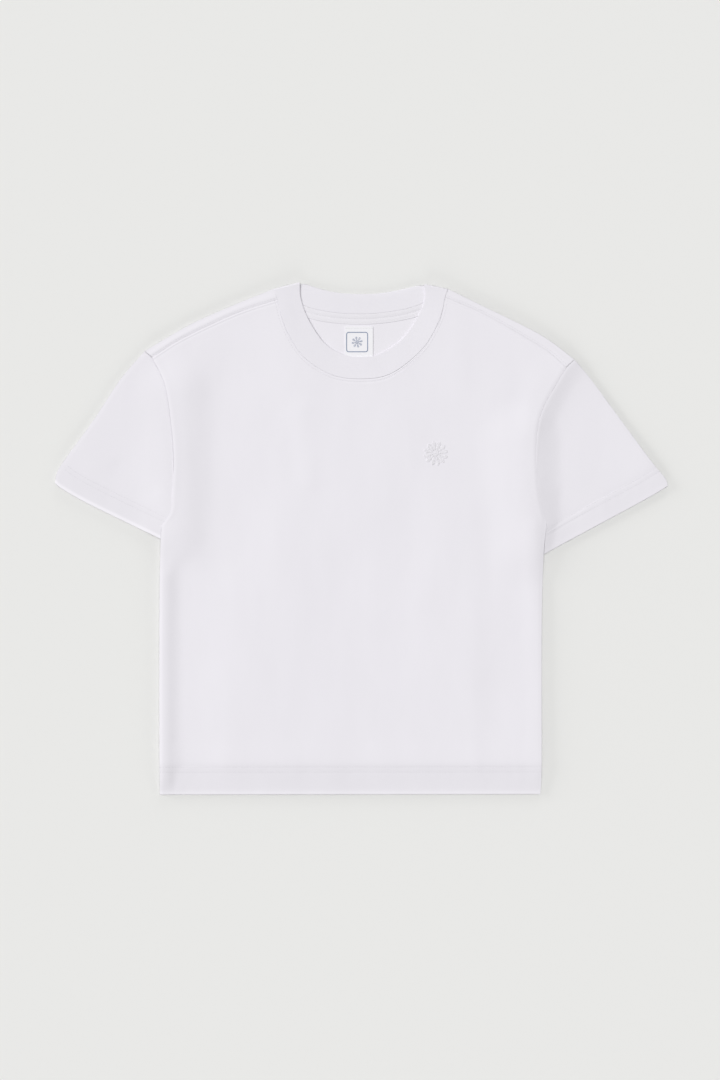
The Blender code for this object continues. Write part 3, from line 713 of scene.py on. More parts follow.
# %% Back
STRIP_SHARES = (0.12, 0.25, 0.37, 0.48, 0.58, 0.67, 0.75, 0.82, 0.875, 0.92, 0.955, 0.98, 1.0)
BACK_NECK_COLUMNS = 80


def shoulder_ends(line, neck_sign):
    """Hold a shoulder line clear of the neckband at its last point and of the sleeve at its first."""
    far = run(line)
    at_arm, at_neck = fading(far, 8)[:, None], fading(far[-1] - far, 8)[:, None]
    return line + at_neck * (0.02 * neck_sign, 0) + at_arm * (-0.3 * neck_sign, 0.15)


def neck_way(corner, edge):
    """The level direction in which the cloth turns over where the neckband crosses the shoulder."""
    across = unit(np.subtract(edge, corner))
    way = np.array([-across[1], across[0]])
    return way if way[1] > 0 else -way


def shoulder_parts(fold_points, seam_points, neck_sign, way):
    """A shoulder's fold, its seam, and the directions in which it turns, from the armhole to the neck."""
    fold = shoulder_ends(shoulder_row(fold_points), neck_sign)
    seam = shoulder_ends(shoulder_row(seam_points), neck_sign)
    near_neck = fading(reach(fold) - run(fold), 12)[:, None]
    return fold, seam, unit(mixed(unit(fold - seam), way, near_neck))


def turned(fold, seam, ways):
    """The rows of cloth over a shoulder: under, round the turn, and on to the seam."""
    end_lift = 0.25 * fading(reach(fold) - run(fold), 14) ** 2      # a small rise at each row's last point
    rows = []
    for inset, share in zip(TURN_IN[::-1], TURN_UP[::-1]):
        x, y = (fold - ways * inset).T
        rows.append((x, y, mixed(MEETING, lower(x, y), share)))
    for inset, share in zip(TURN_IN[1:], TOP_UP[1:]):
        x, y = (fold - ways * inset).T
        rows.append((x, y, mixed(MEETING, upper(x, y) - EDGE_FALL + end_lift, share)))
    start = fold - ways * ROLL
    end = seam + unit(start - seam) * SEAM_GAP
    whole = np.linalg.norm(start - end, axis=1)
    for share in STRIP_SHARES:
        x, y = mixed(start, end, share).T
        height = upper(x, y) + seam_shape(whole * (1 - share), 0.13, 0.25)
        rows.append((x, y, height + edge_fall(whole * share) + end_lift * (1 - share)))
    return np.array(rows).transpose(0, 2, 1)


left_way = neck_way(CORNER_LEFT, BAND_FRONT_EDGE[0])
right_way = neck_way(CORNER_RIGHT, BAND_FRONT_EDGE[-1])
left_shoulder = shoulder_parts(FOLD_LEFT, SHOULDER_LEFT, -1, left_way)
right_shoulder = shoulder_parts(FOLD_RIGHT[::-1], SHOULDER_RIGHT[::-1], 1, right_way)
right_shoulder = [part[::-1] for part in right_shoulder]
left_axis, right_axis = (fold - ways * ROLL for fold, seam, ways in (left_shoulder, right_shoulder))
back_neck = smooth(NECK_BACK)
neck_inner = at(back_neck, np.linspace(0, reach(back_neck), BACK_NECK_COLUMNS))[1:-1]
back_head = np.vstack([left_axis, neck_inner, right_axis])
back_left = np.vstack([left_edge, [mixed(np.array(JOIN_LEFT), left_axis[0], 0.5)], left_axis[:1]])
back_right = np.vstack([right_edge, [mixed(np.array(JOIN_RIGHT), right_axis[-1], 0.5)], right_axis[-1:]])
back_grid = patch(hem_row(len(back_head)), back_head, back_left, back_right)
neck_span = slice(len(left_axis), len(back_head) - len(right_axis))
arm_span = slice(underarm_row, -1)
for edge, span in (("left", arm_span), ("right", arm_span), ("head", neck_span)):
    draw_back(back_grid, edge, span)

x, y = back_grid[..., 0], back_grid[..., 1]
back_height = hemmed_below(x, y, away_from(back_grid, "foot"), HEM)
neck_dent = stitch_dent(away_from(back_grid, "head"), NECK_STITCHES, UNDER_DENT)
back_height[:, neck_span] -= neck_dent[:, neck_span]
back_z = mixed(MEETING - SIDE_GAP, back_height, rolled_share(back_grid, TURN_UP, slice(underarm_row)))
back_points = np.dstack([x, y, back_z])
print("back", back_points.shape[:2], "points")

# %% Join the flat part and the two turned shoulders
back = cloth_object("back_jersey", back_points, back_grid, jersey, flip=True)
strips = []
over_left, over_right = slice(neck_span.start), slice(neck_span.stop, None)
for shoulder, columns in ((left_shoulder, over_left), (right_shoulder, over_right)):
    strip = turned(*shoulder)
    strip[0] = back_points[-1, columns]
    uv = np.dstack([strip[..., 0], strip[0, :, 1] + run(strip)])
    strips.append(cloth_object(f"turned_{len(strips)}", strip, uv, jersey, flip=True))
with bpy.context.temp_override(active_object=back, selected_editable_objects=[back, *strips]):
    bpy.ops.object.join()
bm = bmesh.new()
bm.from_mesh(back.data)
before = len(bm.verts)
bmesh.ops.remove_doubles(bm, verts=bm.verts, dist=0.01 * MM)
bm.to_mesh(back.data)
bm.free()
hem_limit = (HEM_LEFT[1] - ORIGIN[1] + HEM.depth) * MM
give_jersey_wall(back, np.array([vert.co.y < hem_limit for vert in back.data.vertices]))
print("joined back:", before, "points, of which", before - len(back.data.vertices), "were shared")

# %% [markdown]
# ## The sleeves
#
# Each sleeve is a flattened tube: two layers, one long fold along the top, and a hem at the cuff. The sheet
# is one grid that runs from the underarm up the upper layer, over the fold, and back along the lower layer.
# The left sleeve sinks at its armhole, and its cuff has a painted highlight along its edge. The right one has
# painted shade beside its armhole, where it goes down into a hollow.

# %% Sleeves
SLEEVE_START = 4 / 12     # the lowest third of the armhole lies along the sleeve's underarm side
SIDE_CLEAR = 0.12         # how far its underarm side stays clear of the body's side

# The last two fields are painted light and shade: a highlight along the cuff's edge, and shade beside the
# armhole.
Sleeve = namedtuple("Sleeve", "name side armhole arm_top top cuff arm_sink edge_light arm_shade")
SLEEVES = (
    Sleeve("sleeve_left_jersey", SIDE_LEFT, ARMHOLE_LEFT, ARM_TOP_LEFT, SLEEVE_LEFT_TOP,
           SLEEVE_LEFT_CUFF, arm_sink=1.1, edge_light=2.8, arm_shade=0.0),
    Sleeve("sleeve_right_jersey", SIDE_RIGHT, ARMHOLE_RIGHT, ARM_TOP_RIGHT, SLEEVE_RIGHT_TOP,
           SLEEVE_RIGHT_CUFF, arm_sink=0.0, edge_light=0.0, arm_shade=0.9),
)


def sleeve_grid(sleeve):
    """One layer of a sleeve, row by row from the armhole to the cuff, and across from underarm to fold."""
    armhole, cuff = smooth(sleeve.armhole), smooth(sleeve.cuff)
    start = reach(armhole) * SLEEVE_START
    arm_line = np.vstack([at(armhole, np.linspace(start, reach(armhole), 60)), [sleeve.arm_top]])
    flat = reach(arm_line) - ROLL
    across = np.concatenate([
        (0.0, 0.1, 0.4), np.linspace(1.0, flat - CLOSE[-1], 54), flat - CLOSE[-2::-1],
        reach(arm_line) - TURN_IN[-2::-1],
    ])
    cuff_across = across * (reach(cuff) - ROLL) / flat
    cuff_across[-TURN_STEPS:] = reach(cuff) - TURN_IN[-2::-1]
    corner_x, corner_y = sleeve.cuff[0]
    side = smooth(sleeve.side)[::-1] + (math.copysign(SIDE_CLEAR, corner_x), 0)
    side = side[side[:, 1] > corner_y + 0.5]
    low_line = np.vstack([at(armhole, np.linspace(start, 0, 30))[:-1], side, [sleeve.cuff[0]]])
    both = []
    for line in (low_line, smooth(sleeve.top)):
        far = reach(line)
        depth = min(CUFF.depth, 0.5 * far)
        stitches = far - (depth - 2) - NEAR_STITCHES[::-1] * min(1.0, depth / CUFF.depth)
        cuff_rows = far - CLOSE[::-1]
        both.append(at(line, np.concatenate([
            CLOSE, np.linspace(CLOSE[-1], stitches[0], 46)[1:-1], stitches,
            np.linspace(stitches[-1], cuff_rows[0], 6)[1:-1], cuff_rows,
        ])))
    return patch(at(arm_line, across), at(cuff, cuff_across), *both)


def over_fold(above, below):
    """One grid from two layers: the upper one, then the lower one back from the fold."""
    return np.concatenate([above, below[:, -2::-1]], axis=1)


def make_sleeve(sleeve):
    grid = sleeve_grid(sleeve)
    grid[0] += (grid[1] - grid[0]) * 0.2
    x, y = grid[..., 0], grid[..., 1]
    from_cuff, from_arm = away_from(grid, "head"), away_from(grid, "foot")
    top = upper(x, y) + seam_shape(from_arm, 0.1, 0.1) + edge_fall(away_from(grid, "right"))
    top -= sleeve.arm_sink * np.exp(-from_arm / 40) * rising(y, 16, 30)
    layers = (hemmed(top, x, y, from_cuff, CUFF), TOP_UP), (hemmed_below(x, y, from_cuff, CUFF), TURN_UP)
    points = over_fold(*[
        np.dstack([x, y, mixed(MEETING, height, rolled_share(grid, turn, both=False))])
        for height, turn in layers
    ])
    around, along = run(points, 1).mean(0), run(points).mean(1)
    uv = np.dstack(np.broadcast_arrays(around[None], along[:, None]))
    shade_beside_seam = hill(np.minimum(from_arm, away_from(grid, "left")), 6, 19)
    hem = over_fold(from_cuff, from_cuff)
    # The whole sleeve is a little darker, its cuff band more so as painted shade; the left cuff gets a
    # painted highlight along its edge.
    sleeve_painted_shading = 0.3 + 0.4 * hem_band_shade(hem, CUFF.depth + 4) - sleeve.edge_light * fading(hem, 3.8, 1.4)
    # Painted shade beside the right sleeve's armhole, on its upper layer, for the hollow there.
    sleeve_painted_shading += sleeve.arm_shade * over_fold(shade_beside_seam, np.zeros_like(x))
    runs_left_to_right = sleeve.cuff[0][0] > 0
    piece = cloth_object(sleeve.name, points, uv, jersey, flip=runs_left_to_right, painted_shading=sleeve_painted_shading)
    give_jersey_wall(piece, hem < CUFF.depth)
    print(f"{sleeve.name}: {points.shape[:2]} points, {around[-1]:.0f} mm round, {along[-1]:.0f} long")
    return piece


sleeve_left, sleeve_right = map(make_sleeve, SLEEVES)

# %% [markdown]
# ## The neckband
#
# The neckband is a strip of rib, folded lengthwise and sewn on as a ring. Laid flat, the ring turns over at
# both shoulders. Its section is a long narrow U: out over the top, round the fold, and back beneath. That U
# is swept round the neck, upright on the front, through half a turn at each shoulder, and upside down along
# the back.

# %% Neckband, smooth
RIB_WALL = 1.5            # thickness of the folded strip
BAND_ROLL = 1.7           # radius of its turn over a shoulder
BAND_LIFT = 0.08          # keeps the turn off the surface
BAND_RISE = 0.2           # how far the band stands above the front
RIBS = 372
PER_RIB = 4
TURN_SECTIONS = 26
UP = np.array([0, 0, 1.0])
BAND_U = (       # the share of the way from seam to fold, and the share of half the thickness
    [(0.0, 0.9), (0.012, 0.97), (0.03, 0.995)]
    + [(share, 1.0) for share in (0.06, 0.18, 0.3, 0.44, 0.58, 0.72, 0.85, 0.95, 0.989)]
    + [(0.9935, 0.99), (0.9965, 0.96), (0.9985, 0.86), (0.9995, 0.64), (1.0, 0.3)]
    + [(0.996, -0.2), (0.98, -0.7), (0.96, -0.9)]
    + [(share, -1.0) for share in (0.94, 0.72, 0.44, 0.18, 0.09)]
    + [(0.045, -0.99), (0.018, -0.96), (0.0, -0.88)]
)


def band_sections(seam, edge, height, out, edge_height=None):
    """The U at each place along the neck. Out is the direction of its upper face."""
    start = np.column_stack([seam, height])
    end = np.column_stack([edge, height if edge_height is None else edge_height])
    half = out * RIB_WALL / 2
    return np.stack([mixed(start, end, across) + half * side for across, side in BAND_U], axis=1)


def over_shoulder(seam_end, edge_end):
    """The sections of the half turn over a shoulder, from the top to beneath."""
    way = neck_way(seam_end, edge_end)
    middle = BAND_ROLL - RIB_WALL / 2
    sections = []
    for angle in np.linspace(math.pi / 2, -math.pi / 2, TURN_SECTIONS + 1)[1:]:
        out = np.array([*(way * math.cos(angle)), math.sin(angle)])
        shift = way * (BAND_ROLL - middle * math.cos(angle))
        ends = [(end - shift)[None] for end in (seam_end, edge_end)]
        sections.append(band_sections(*ends, [BAND_ROLL + BAND_LIFT + middle * out[2]], out)[0])
    return np.array(sections)


def drawn_in(part, from_turn, shifts):
    """Move the sections near each shoulder in, to where its turn starts."""
    first_half = (np.arange(len(part)) < len(part) / 2)[:, None]
    part[..., :2] -= (fading(from_turn, 10)[:, None] * np.where(first_half, *shifts))[:, None]
    return part


def make_band_ring():
    """All sections of the ring: over the left shoulder, along the front, over the right, along the back."""
    corners = np.array([CORNER_LEFT, CORNER_RIGHT])
    between = (corners + (NECK_JOIN_LEFT, NECK_JOIN_RIGHT)) / 2
    seam = smooth([corners[0], between[0], *NECK_FRONT, between[1], corners[1]])
    edge = smooth(BAND_FRONT_EDGE)
    spacing = (reach(seam) + reach(back_neck) + 2 * math.pi * 1.1) / (RIBS * PER_RIB)
    front_count = round(reach(seam) / spacing)
    places = np.linspace(0, 1, front_count)
    seam, edge = at(seam, places * reach(seam)), at(edge, places * reach(edge))
    seam = seam + smooth_side(seam, edge) * SEAM_GAP
    from_turn = np.minimum(places, 1 - places) * reach(seam)
    at_turn = 2 * BAND_ROLL + BAND_LIFT - RIB_WALL / 2
    height = LOFT + folded(*seam.T, FOLDS) + BAND_RISE - RIB_WALL / 2
    height = mixed(at_turn, height, rising(from_turn, 0, 14))
    edge_height = 1.6 + 0.45 * np.exp(-(((edge[:, 0] + 2) / 17) ** 4))      # a little higher in the middle
    edge_height = mixed(at_turn, edge_height, rising(from_turn, 0, 45) ** 0.8)
    shifts = [neck_way(seam[tip], edge[tip]) * BAND_ROLL for tip in (0, -1)]
    turns = [over_shoulder(seam[tip], edge[tip]) for tip in (0, -1)]
    front_part = drawn_in(band_sections(seam, edge, height, UP, edge_height), from_turn, shifts)

    count = RIBS * PER_RIB - front_count - 2 * TURN_SECTIONS
    edge = smooth(BAND_BACK_EDGE)
    seam, edge = (at(line, np.linspace(0, reach(line), count + 2)) for line in (back_neck, edge))
    seam = seam + smooth_side(seam, edge) * SEAM_GAP
    back_part = band_sections(seam[1:-1], edge[1:-1], np.full(count, RIB_WALL / 2 + 0.1), -UP)
    from_turn = np.minimum(np.arange(1, count + 1), np.arange(count, 0, -1)) * spacing
    back_part = drawn_in(back_part, from_turn, shifts)
    return np.concatenate([turns[0][::-1], front_part, turns[1], back_part[::-1]])


ring = make_band_ring()
print("neckband:", ring.shape[0], "sections of", ring.shape[1], "points")

# %% [markdown]
# ### Tools for Geometry Nodes
#
# Three helpers keep the node trees short. One starts a tree with named inputs, one ends it, and one runs it
# on a piece and keeps the result as a plain mesh, because instances and live trees don't survive an export.

# %% Helpers for node trees
KINDS = {float: "NodeSocketFloat", int: "NodeSocketInt", bpy.types.Material: "NodeSocketMaterial"}


def start_tree(name, **inputs):
    """A Geometry Nodes tree with named inputs, those inputs' sockets, and the identifier of each."""
    tree = bpy.data.node_groups.new(name, "GeometryNodeTree")
    for way in ("INPUT", "OUTPUT"):
        tree.interface.new_socket("Geometry", in_out=way, socket_type="NodeSocketGeometry")
    identifiers = {
        title: tree.interface.new_socket(title, in_out="INPUT", socket_type=KINDS[kind]).identifier
        for title, kind in inputs.items()
    }
    return tree, tree.nodes.new("NodeGroupInput").outputs, identifiers


def end_tree(tree, geometry, material):
    """Realize Instances and Set Material close every tree."""
    real = node(tree, "GeometryNodeRealizeInstances", {"Geometry": geometry})
    smooth_faces = node(tree, "GeometryNodeSetShadeSmooth", {0: real})
    painted = node(tree, "GeometryNodeSetMaterial", {"Geometry": smooth_faces, "Material": material})
    tree.links.new(painted, tree.nodes.new("NodeGroupOutput").inputs[0])


def grow(piece, tree, identifiers, **values):
    """Run a tree on a piece and keep what it makes as the piece's own plain mesh."""
    modifier = piece.modifiers.new(tree.name, "NODES")
    modifier.node_group = tree
    for title, value in values.items():
        modifier[identifiers[title]] = value
    depsgraph = bpy.context.evaluated_depsgraph_get()
    mesh = bpy.data.meshes.new_from_object(piece.evaluated_get(depsgraph), depsgraph=depsgraph)
    piece.modifiers.remove(modifier)
    piece.data = mesh
    print(f"{piece.name}: {len(mesh.vertices)} points, {len(mesh.polygons)} faces from {tree.name!r}")


# %% [markdown]
# ### Rib
#
# The rib is one rib knit and one groove in turn, folded so that only the ribs show. They run across the
# strip. One rule places them all, so a tree raises them: it lifts each point along its normal by a wave of
# the attribute "around", which counts from 0 to 1 along the ring. The number of ribs is an input.

# %% Rib tree and material
RIB_DEPTH = 0.12
RIB_COLOUR = (0.808, 0.790, 0.834)
RIB_LOOPS = (0.00062, 0.00058)


def rib_material():
    material, tree, shader, u, v = cloth_material("white_rib", RIB_COLOUR)
    relief(tree, shader, loops(tree, u, v, *RIB_LOOPS), *LOOP_RELIEF)
    return material


def rib_tree():
    tree, start, identifiers = start_tree("raise_ribs", Ribs=int, Depth=float, Finish=bpy.types.Material)
    around = node(tree, "GeometryNodeInputNamedAttribute", {"Name": "around"}, data_type="FLOAT")
    turns = math_node(tree, "MULTIPLY", around, start["Ribs"])
    wave = math_node(tree, "COSINE", math_node(tree, "MULTIPLY", turns, 2 * math.pi))
    lift = math_node(tree, "MULTIPLY", wave, start["Depth"])
    normal = node(tree, "GeometryNodeInputNormal")
    offset = node(tree, "ShaderNodeVectorMath", {0: normal, "Scale": lift}, operation="SCALE")
    moved = node(tree, "GeometryNodeSetPosition", {"Geometry": start["Geometry"], "Offset": offset})
    end_tree(tree, moved, start["Finish"])
    return tree, identifiers


rib = rib_material()
around_run = run(np.concatenate([ring[-1:, 5], ring[:, 5]]))[1:]
across_run = run(ring, 1).mean(0)
closed_run = np.append(around_run, around_run[-1] * 2 - around_run[-2])
closed_ring = np.concatenate([ring, ring[:1]]).transpose(1, 0, 2)
band_uv = np.dstack(np.broadcast_arrays(closed_run[None], across_run[:, None]))
neckband = cloth_object("neckband_rib", closed_ring, band_uv, rib)
count = np.arange(closed_ring.shape[1]) / (RIBS * PER_RIB)
share = neckband.data.attributes.new("around", "FLOAT", "POINT")
share.data.foreach_set("value", np.tile(count, closed_ring.shape[0]).astype(np.float32))
grow(neckband, *rib_tree(), Ribs=RIBS, Depth=RIB_DEPTH * MM / 2, Finish=rib)
give_wall(neckband, 0.68)
print(f"{RIBS} ribs, {around_run[-1] / RIBS:.2f} mm apart, on a strip {across_run[-1]:.0f} mm wide unfolded")

# %% [markdown]
# ## Tape and label
#
# A woven tape covers the back neck seam on the inside, and below it sits a small woven label. Both are
# plain strips that lie on the back's inner face. Their weave is a bump: slanting twill lines on the tape,
# and fine square threads on the label. The label bears only a plain frame and a small daisy.

# %% Tape and label
TAPE_SHARE = 0.14         # the tape stops this share of the back neck seam before each end
LABEL_BOX = (-16.3, 11.7, 180.5, 212.0)
INSIDE = 0.72             # height of the back's inner face
TWILL, WARP, WEFT = 0.0009, 0.00034, 0.0005


def twill_material():
    material, tree, shader, u, v = cloth_material("white_twill_tape", (0.850, 0.832, 0.874), 0.75, 0.15)
    slant = math_node(tree, "ADD", *[math_node(tree, "DIVIDE", way, TWILL) for way in (u, v)])
    lines = math_node(tree, "MULTIPLY_ADD", sine_wave(tree, slant), 0.5, 0.5)
    relief(tree, shader, lines, 0.00015, 0.7)
    return material


def label_material():
    material, tree, shader, u, v = cloth_material("white_label_satin", (0.865, 0.858, 0.885), 0.6, 0.1)
    crossed = math_node(tree, "MULTIPLY", sine_wave(tree, u, WARP), sine_wave(tree, v, WEFT))
    relief(tree, shader, math_node(tree, "MULTIPLY_ADD", crossed, 0.5, 0.5), 0.00006, 0.6)
    return material


tape_run = np.linspace(reach(back_neck) * TAPE_SHARE, reach(back_neck) * (1 - TAPE_SHARE), 90)
tape_seam = at(back_neck, tape_run)
tape_rows = (10.4, 10.2, 9.8, 9.3, 8.6, 7.9, 6.5, 5.7, 5.2, 4.8, 4.4, 3.9, 3.3, 2.4, 1.4, 0.7, 0.3, 0.03)
down = smooth_side(tape_seam, tape_seam + (0, -1))
tape_grid = np.stack([tape_seam + down * row for row in tape_rows])
tape_depth = np.broadcast_to(np.array(tape_rows)[:, None], tape_grid.shape[:2])
tape_height = INSIDE + 1.0 + stitch_dent(tape_depth, 5.2, 0.25, 1.2) + stitch_dent(tape_depth, 8.9, 0.1)
tape_height -= 0.6 * rising(tape_depth, 1.5, 8.9) + 0.1 * hill(tape_depth, 10.4, 0.5)
tape_height += 0.08 * ripple(tape_grid[..., 0], tape_grid[..., 1], 12, 5.0)
tape_uv = np.dstack(np.broadcast_arrays(tape_run[None], -tape_depth))
tape = cloth_object("neck_tape_twill", np.dstack([tape_grid, tape_height]), tape_uv, twill_material())
give_wall(tape, 0.3)

left, right, foot, head = LABEL_BOX
across = np.linspace(left, right, 40)
across = np.concatenate([across[:1], across[:1] + 0.1, across[1:-1], across[-1:] - 0.1, across[-1:]])
label_x, label_y = np.meshgrid(across, np.linspace(foot, head, 46))
from_top, from_foot = head - label_y, label_y - foot
side_curl = np.abs(label_x - across.mean()) / (right - left) * 2
label_height = INSIDE + 0.5 + stitch_dent(from_top, 2.2, 0.1) + 0.1 * ripple(label_x, label_y, 14, 7.0)
label_height += 0.15 * np.sin(np.pi * from_top / (head - foot))
label_height += 0.1 * side_curl**4 * from_foot / (head - foot)
label_points = np.dstack([label_x, label_y, label_height])
label = cloth_object("neck_label_satin", label_points, label_points[..., :2], label_material())
give_wall(label, 0.45)
print(f"tape {reach(tape_seam):.0f} x {tape_rows[0]} mm, label {right - left:.0f} x {head - foot:.1f} mm")

# %% [markdown]
# ## Stitches
#
# Real stitches are short beads of thread, sunk a little into the cloth, with a tiny gap where the needle
# went down. Every seam line is first laid onto the finished cloth from above or below, as a chain of edges.
# Then one tree resamples the chain by the stitch length and sets a small bead on each point, turned along
# the line. The tree's inputs are the stitch length, the thread's width and a seed for the slight
# unevenness.

# %% Lines for the stitches
STITCH = 2.9
THREAD = 0.42
ABOVE, BELOW = -1, 1                # the way in which a line is laid onto the cloth
SUNK = {ABOVE: 0.06, BELOW: 0.23}   # how deep it lies in the cloth
FAR_BELOW, FAR_ABOVE = (0, -2000), (0, 2000)


def surface(*pieces):
    """What the given pieces look like to a ray, with their walls."""
    depsgraph = bpy.context.evaluated_depsgraph_get()
    corners, faces = [], []
    for piece in pieces:
        made = piece.evaluated_get(depsgraph).to_mesh()
        first = len(corners)
        corners += [vert.co.copy() for vert in made.vertices]
        faces += [[first + k for k in face.vertices] for face in made.polygons]
    return BVHTree.FromPolygons(corners, faces)


def laid(line, tree, way=ABOVE, sunk=None):
    """A flat line, dropped onto the cloth, as points in metres."""
    depth = SUNK[way] if sunk is None else sunk
    ray = Vector((0, 0, way))
    hits = [tree.ray_cast(Vector((x * MM, y * MM, -way * 0.05)), ray)[0] for x, y in line - ORIGIN]
    return [hit + ray * depth * MM for hit in hits if hit is not None]


def beside(line, distance, towards):
    """A line beside another, on the side of the point towards."""
    return line + smooth_side(line, np.array(towards)) * distance


def level(line, step=1.2):
    return at(line, np.linspace(0, reach(line), max(3, round(reach(line) / step))))


def trimmed(line, ends):
    return level(at(line, np.linspace(ends, reach(line) - ends, 200)))


top_of_body, both_ways = surface(front, back), (ABOVE, BELOW)
rows = [(trimmed(HEM_LINE + (0, distance), 0.6), top_of_body, both_ways) for distance in HEM.stitches]
for sleeve, piece in zip(SLEEVES, (sleeve_left, sleeve_right)):
    tree = surface(piece)
    rows += [(level(beside(smooth(sleeve.cuff), distance, sleeve.arm_top)), tree, both_ways)
             for distance in CUFF.stitches]
rows.append((trimmed(beside(neck_line, NECK_STITCHES, FAR_BELOW), 1), top_of_body, [ABOVE]))
rows.append((trimmed(beside(back_neck, NECK_STITCHES, FAR_BELOW), 8), top_of_body, [BELOW]))
for seam in (SHOULDER_LEFT, SHOULDER_RIGHT):
    rows.append((trimmed(beside(smooth(seam), 2.0, FAR_ABOVE), 3), top_of_body, [ABOVE]))
lines = [laid(row, tree, way) for row, tree, ways in rows for way in ways]
for distance, sunk in ((4.8, 0.08), (8.9, 0.17)):
    lines.append(laid(trimmed(beside(tape_seam, distance, FAR_BELOW), 1), surface(tape), sunk=sunk))
label_row = np.array([(left + 0.8, head - 2.2), (right - 0.8, head - 2.2)])
lines.append(laid(level(label_row), surface(label)))
print(len(lines), "rows of stitches,", f"{sum(len(line) for line in lines)} points")

# %% Stitch tree


def thread_material(name, colour, roughness=0.55):
    """Twisted cotton thread: fine slanting lines along it."""
    material, tree, shader = new_material(name, {"Roughness": roughness, "Sheen Weight": 0.2})
    uneven(tree, shader, colour, 0.03, 300, (1.0, 1.0, 1.0))
    place = node(tree, "ShaderNodeTexCoord", output="Object")
    twist = node(
        tree, "ShaderNodeTexWave", {"Vector": place, "Scale": 900}, "Fac", bands_direction="DIAGONAL")
    relief(tree, shader, twist, 0.00005, 0.5)
    return material


def edge_chain(name, chains):
    """A piece that holds only lines: each chain of points becomes a row of edges."""
    corners, edges = [], []
    for chain in chains:
        first = len(corners)
        corners += [tuple(point) for point in chain]
        edges += [(first + k, first + k + 1) for k in range(len(chain) - 1)]
    mesh = bpy.data.meshes.new(name)
    mesh.from_pydata(corners, edges, [])
    return put(name, mesh)


def stitch_tree():
    tree, start, identifiers = start_tree(
        "sew_stitches", Stitch_length=float, Thread_width=float, Seed=int, Finish=bpy.types.Material)
    curve = node(tree, "GeometryNodeMeshToCurve", {"Mesh": start["Geometry"]})
    points = node(
        tree, "GeometryNodeResampleCurve", {"Curve": curve, "Length": start["Stitch_length"]}, mode="LENGTH")
    tangent = node(tree, "GeometryNodeInputTangent")
    turn = node(
        tree, "FunctionNodeAxesToRotation", {"Primary Axis": (0, 0, 1), "Secondary Axis": tangent},
        primary_axis="Z", secondary_axis="X")
    bead = node(tree, "GeometryNodeMeshUVSphere", {"Segments": 8, "Rings": 5, "Radius": 1.0})
    half_length = math_node(tree, "MULTIPLY", start["Stitch_length"], 0.43)
    half_width = math_node(tree, "MULTIPLY", start["Thread_width"], 0.5)
    size = node(tree, "ShaderNodeCombineXYZ", {"X": half_length, "Y": half_width, "Z": half_width})
    uneven_size = node(
        tree, "FunctionNodeRandomValue", {2: 0.92, 3: 1.06, "Seed": start["Seed"]}, 1, data_type="FLOAT")
    beads = node(tree, "GeometryNodeInstanceOnPoints", {
        "Points": points, "Instance": bead, "Rotation": turn, "Scale": size})
    varied = node(tree, "GeometryNodeScaleInstances", {"Instances": beads, "Scale": uneven_size})
    end_tree(tree, varied, start["Finish"])
    return tree, identifiers


# The seam thread is greyer than the cloth: painted shade that stands in for the shade in the grooves it lies
# in.
thread_painted_shade = thread_material("thread_painted_shade", (0.725, 0.710, 0.750))
stitches = edge_chain("stitches", [line for line in lines if len(line) > 2])
grow(stitches, *stitch_tree(),
     Stitch_length=STITCH * MM, Thread_width=THREAD * MM, Seed=4, Finish=thread_painted_shade)

# %% [markdown]
# ## Embroidery
#
# A small tonal flower sits on the chest: a plain daisy with twelve petals, worked in satin stitch. Each
# petal is a fan of threads that run across it, and the middle is a tight knot of rings. Each petal thread
# is four points, raised in its middle, and one tree gives all of them a round body. A bump map would be
# simpler, but the threads catch the light from the side, as satin stitch does.

# %% Embroidered daisy
DAISY_MIDDLE = (74.3, 85.0)
DAISY_RADIUS = 12.0
PETALS = 12
SATIN = 0.52


def petal_threads(angle, inner, outer, half_width, pitch, lift):
    """Threads across one petal, from its narrow foot to its round tip, with heights above the cloth."""
    way = np.array([math.cos(angle), math.sin(angle)])
    side = np.array([-way[1], way[0]])
    threads = []
    for share in np.arange(0, 1, pitch / (outer - inner)):
        far = mixed(inner, outer, share)
        round_tip = math.sin(math.pi * min(0.975, 0.1 + 0.9 * share) ** 1.5) ** 0.5
        half = side * min(half_width * round_tip, 0.235 * far)
        across = (-1, 0.05), (-0.5, lift), (0.5, lift), (1, 0.05)
        threads.append([(*(way * far + half * k), z) for k, z in across])
    return threads


def daisy(middle, radius, petals, pitch, lift, tree):
    """All threads of a daisy, laid on the cloth below them."""
    threads = []
    half_width = math.pi * radius * 0.72 / petals
    for k in range(petals):
        angle = 2 * math.pi * k / petals + 0.2
        threads += petal_threads(angle, radius * 0.3, radius, half_width, pitch, lift)
    for r in np.arange(pitch, radius * 0.26, pitch):
        angles = np.linspace(0, 2 * math.pi, 16)
        threads.append([(r * math.cos(a), r * math.sin(a), lift * 1.1) for a in angles])
    chains = []
    for thread in threads:
        spots = laid(np.array(thread)[:, :2] + middle, tree, sunk=0)
        chains.append([spot + Vector((0, 0, point[2] * MM)) for spot, point in zip(spots, thread)])
    return chains


def thread_tree():
    tree, start, identifiers = start_tree("spin_thread", Thread_width=float, Finish=bpy.types.Material)
    curve = node(tree, "GeometryNodeMeshToCurve", {"Mesh": start["Geometry"]})
    radius = math_node(tree, "MULTIPLY", start["Thread_width"], 0.5)
    profile = node(tree, "GeometryNodeCurvePrimitiveCircle", {"Resolution": 6, "Radius": radius})
    body = node(tree, "GeometryNodeCurveToMesh", {
        "Curve": curve, "Profile Curve": profile, "Fill Caps": True})
    end_tree(tree, body, start["Finish"])
    return tree, identifiers


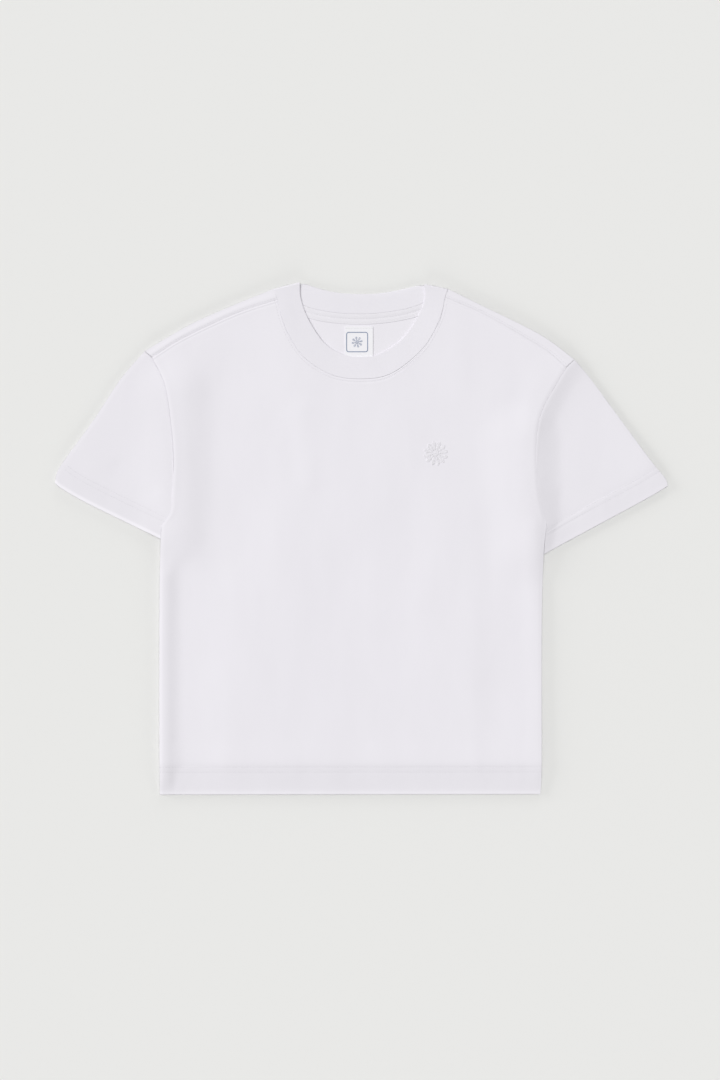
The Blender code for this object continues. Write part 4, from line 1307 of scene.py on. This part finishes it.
grey_thread = thread_material("lilac_grey_thread", (0.840, 0.825, 0.860), 0.5)
flower = edge_chain("daisy", daisy(DAISY_MIDDLE, DAISY_RADIUS, PETALS, 0.46, 0.18, top_of_body))
grow(flower, *thread_tree(), Thread_width=SATIN * MM, Finish=grey_thread)

# %% [markdown]
# ### The label's frame
#
# The frame and the little daisy on the label are woven in a blue-grey yarn. They are threads too, laid
# flat: a rounded square in three close rows, each a closed chain, and a daisy with fewer petals.

# %% Frame and daisy on the label
FRAME_BOX = (-15.0, 6.6, 186.4, 206.4)
FRAME_CORNER = 2.4
FRAME_ROWS = (0.0, 0.3, 0.6)      # how far in each row is


def rounded_box(inset):
    """A closed chain round the frame's box, some way in, with round corners."""
    x0, x1, y0, y1 = FRAME_BOX
    radius = FRAME_CORNER - inset
    x0, x1, y0, y1 = x0 + FRAME_CORNER, x1 - FRAME_CORNER, y0 + FRAME_CORNER, y1 - FRAME_CORNER
    points = []
    for quarter, (cx, cy) in enumerate(((x1, y1), (x0, y1), (x0, y0), (x1, y0))):
        for angle in (quarter + np.linspace(0, 1, 6)) * math.pi / 2:
            points.append((cx + radius * math.cos(angle), cy + radius * math.sin(angle)))
    return np.array(points + points[:1])


label_top = surface(label)
blue_thread = thread_material("blue_grey_yarn", (0.300, 0.350, 0.470), 0.6)
label_chains = [laid(rounded_box(inset), label_top, sunk=-0.05) for inset in FRAME_ROWS]
label_chains += daisy((-4.2, 196.4), 5.4, 8, 0.62, 0.08, label_top)
woven_frame = edge_chain("label_frame", label_chains)
grow(woven_frame, *thread_tree(), Thread_width=0.34 * MM, Finish=blue_thread)

# %% [markdown]
# ## Fit the pieces to the CAD model
#
# Each cloth piece stands for its CAD solid, which is hidden, and rides on the one body. Its row also gives
# the finish, the size to which it was cut, how it is held and, for panels and sleeves, an area, which nothing
# here reads. A sleeve's size is given all round, because it is a tube.

cloth_pieces = (
    (front, "front", "jersey", (0.415, 0.500), "laid", 0.180),
    (back, "back", "jersey", (0.430, 0.520), "laid", 0.200),
    (sleeve_left, "sleeve_left", "jersey", (0.340, 0.125), "folded", 0.0263),
    (sleeve_right, "sleeve_right", "jersey", (0.360, 0.135), "folded", 0.0288),
    (neckband, "neckband", "rib", (0.465, 0.046), "folded", None),
    (tape, "neck_tape", "tape", (0.138, 0.010), "laid", None),
    (label, "neck_label", "label", (0.028, 0.0315), "laid", None),
)
for piece, cad_node, slot, flat, held, area in cloth_pieces:
    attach(piece, "root")
    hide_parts(cad_node)
for trim in (stitches, flower, woven_frame):
    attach(trim, "root")
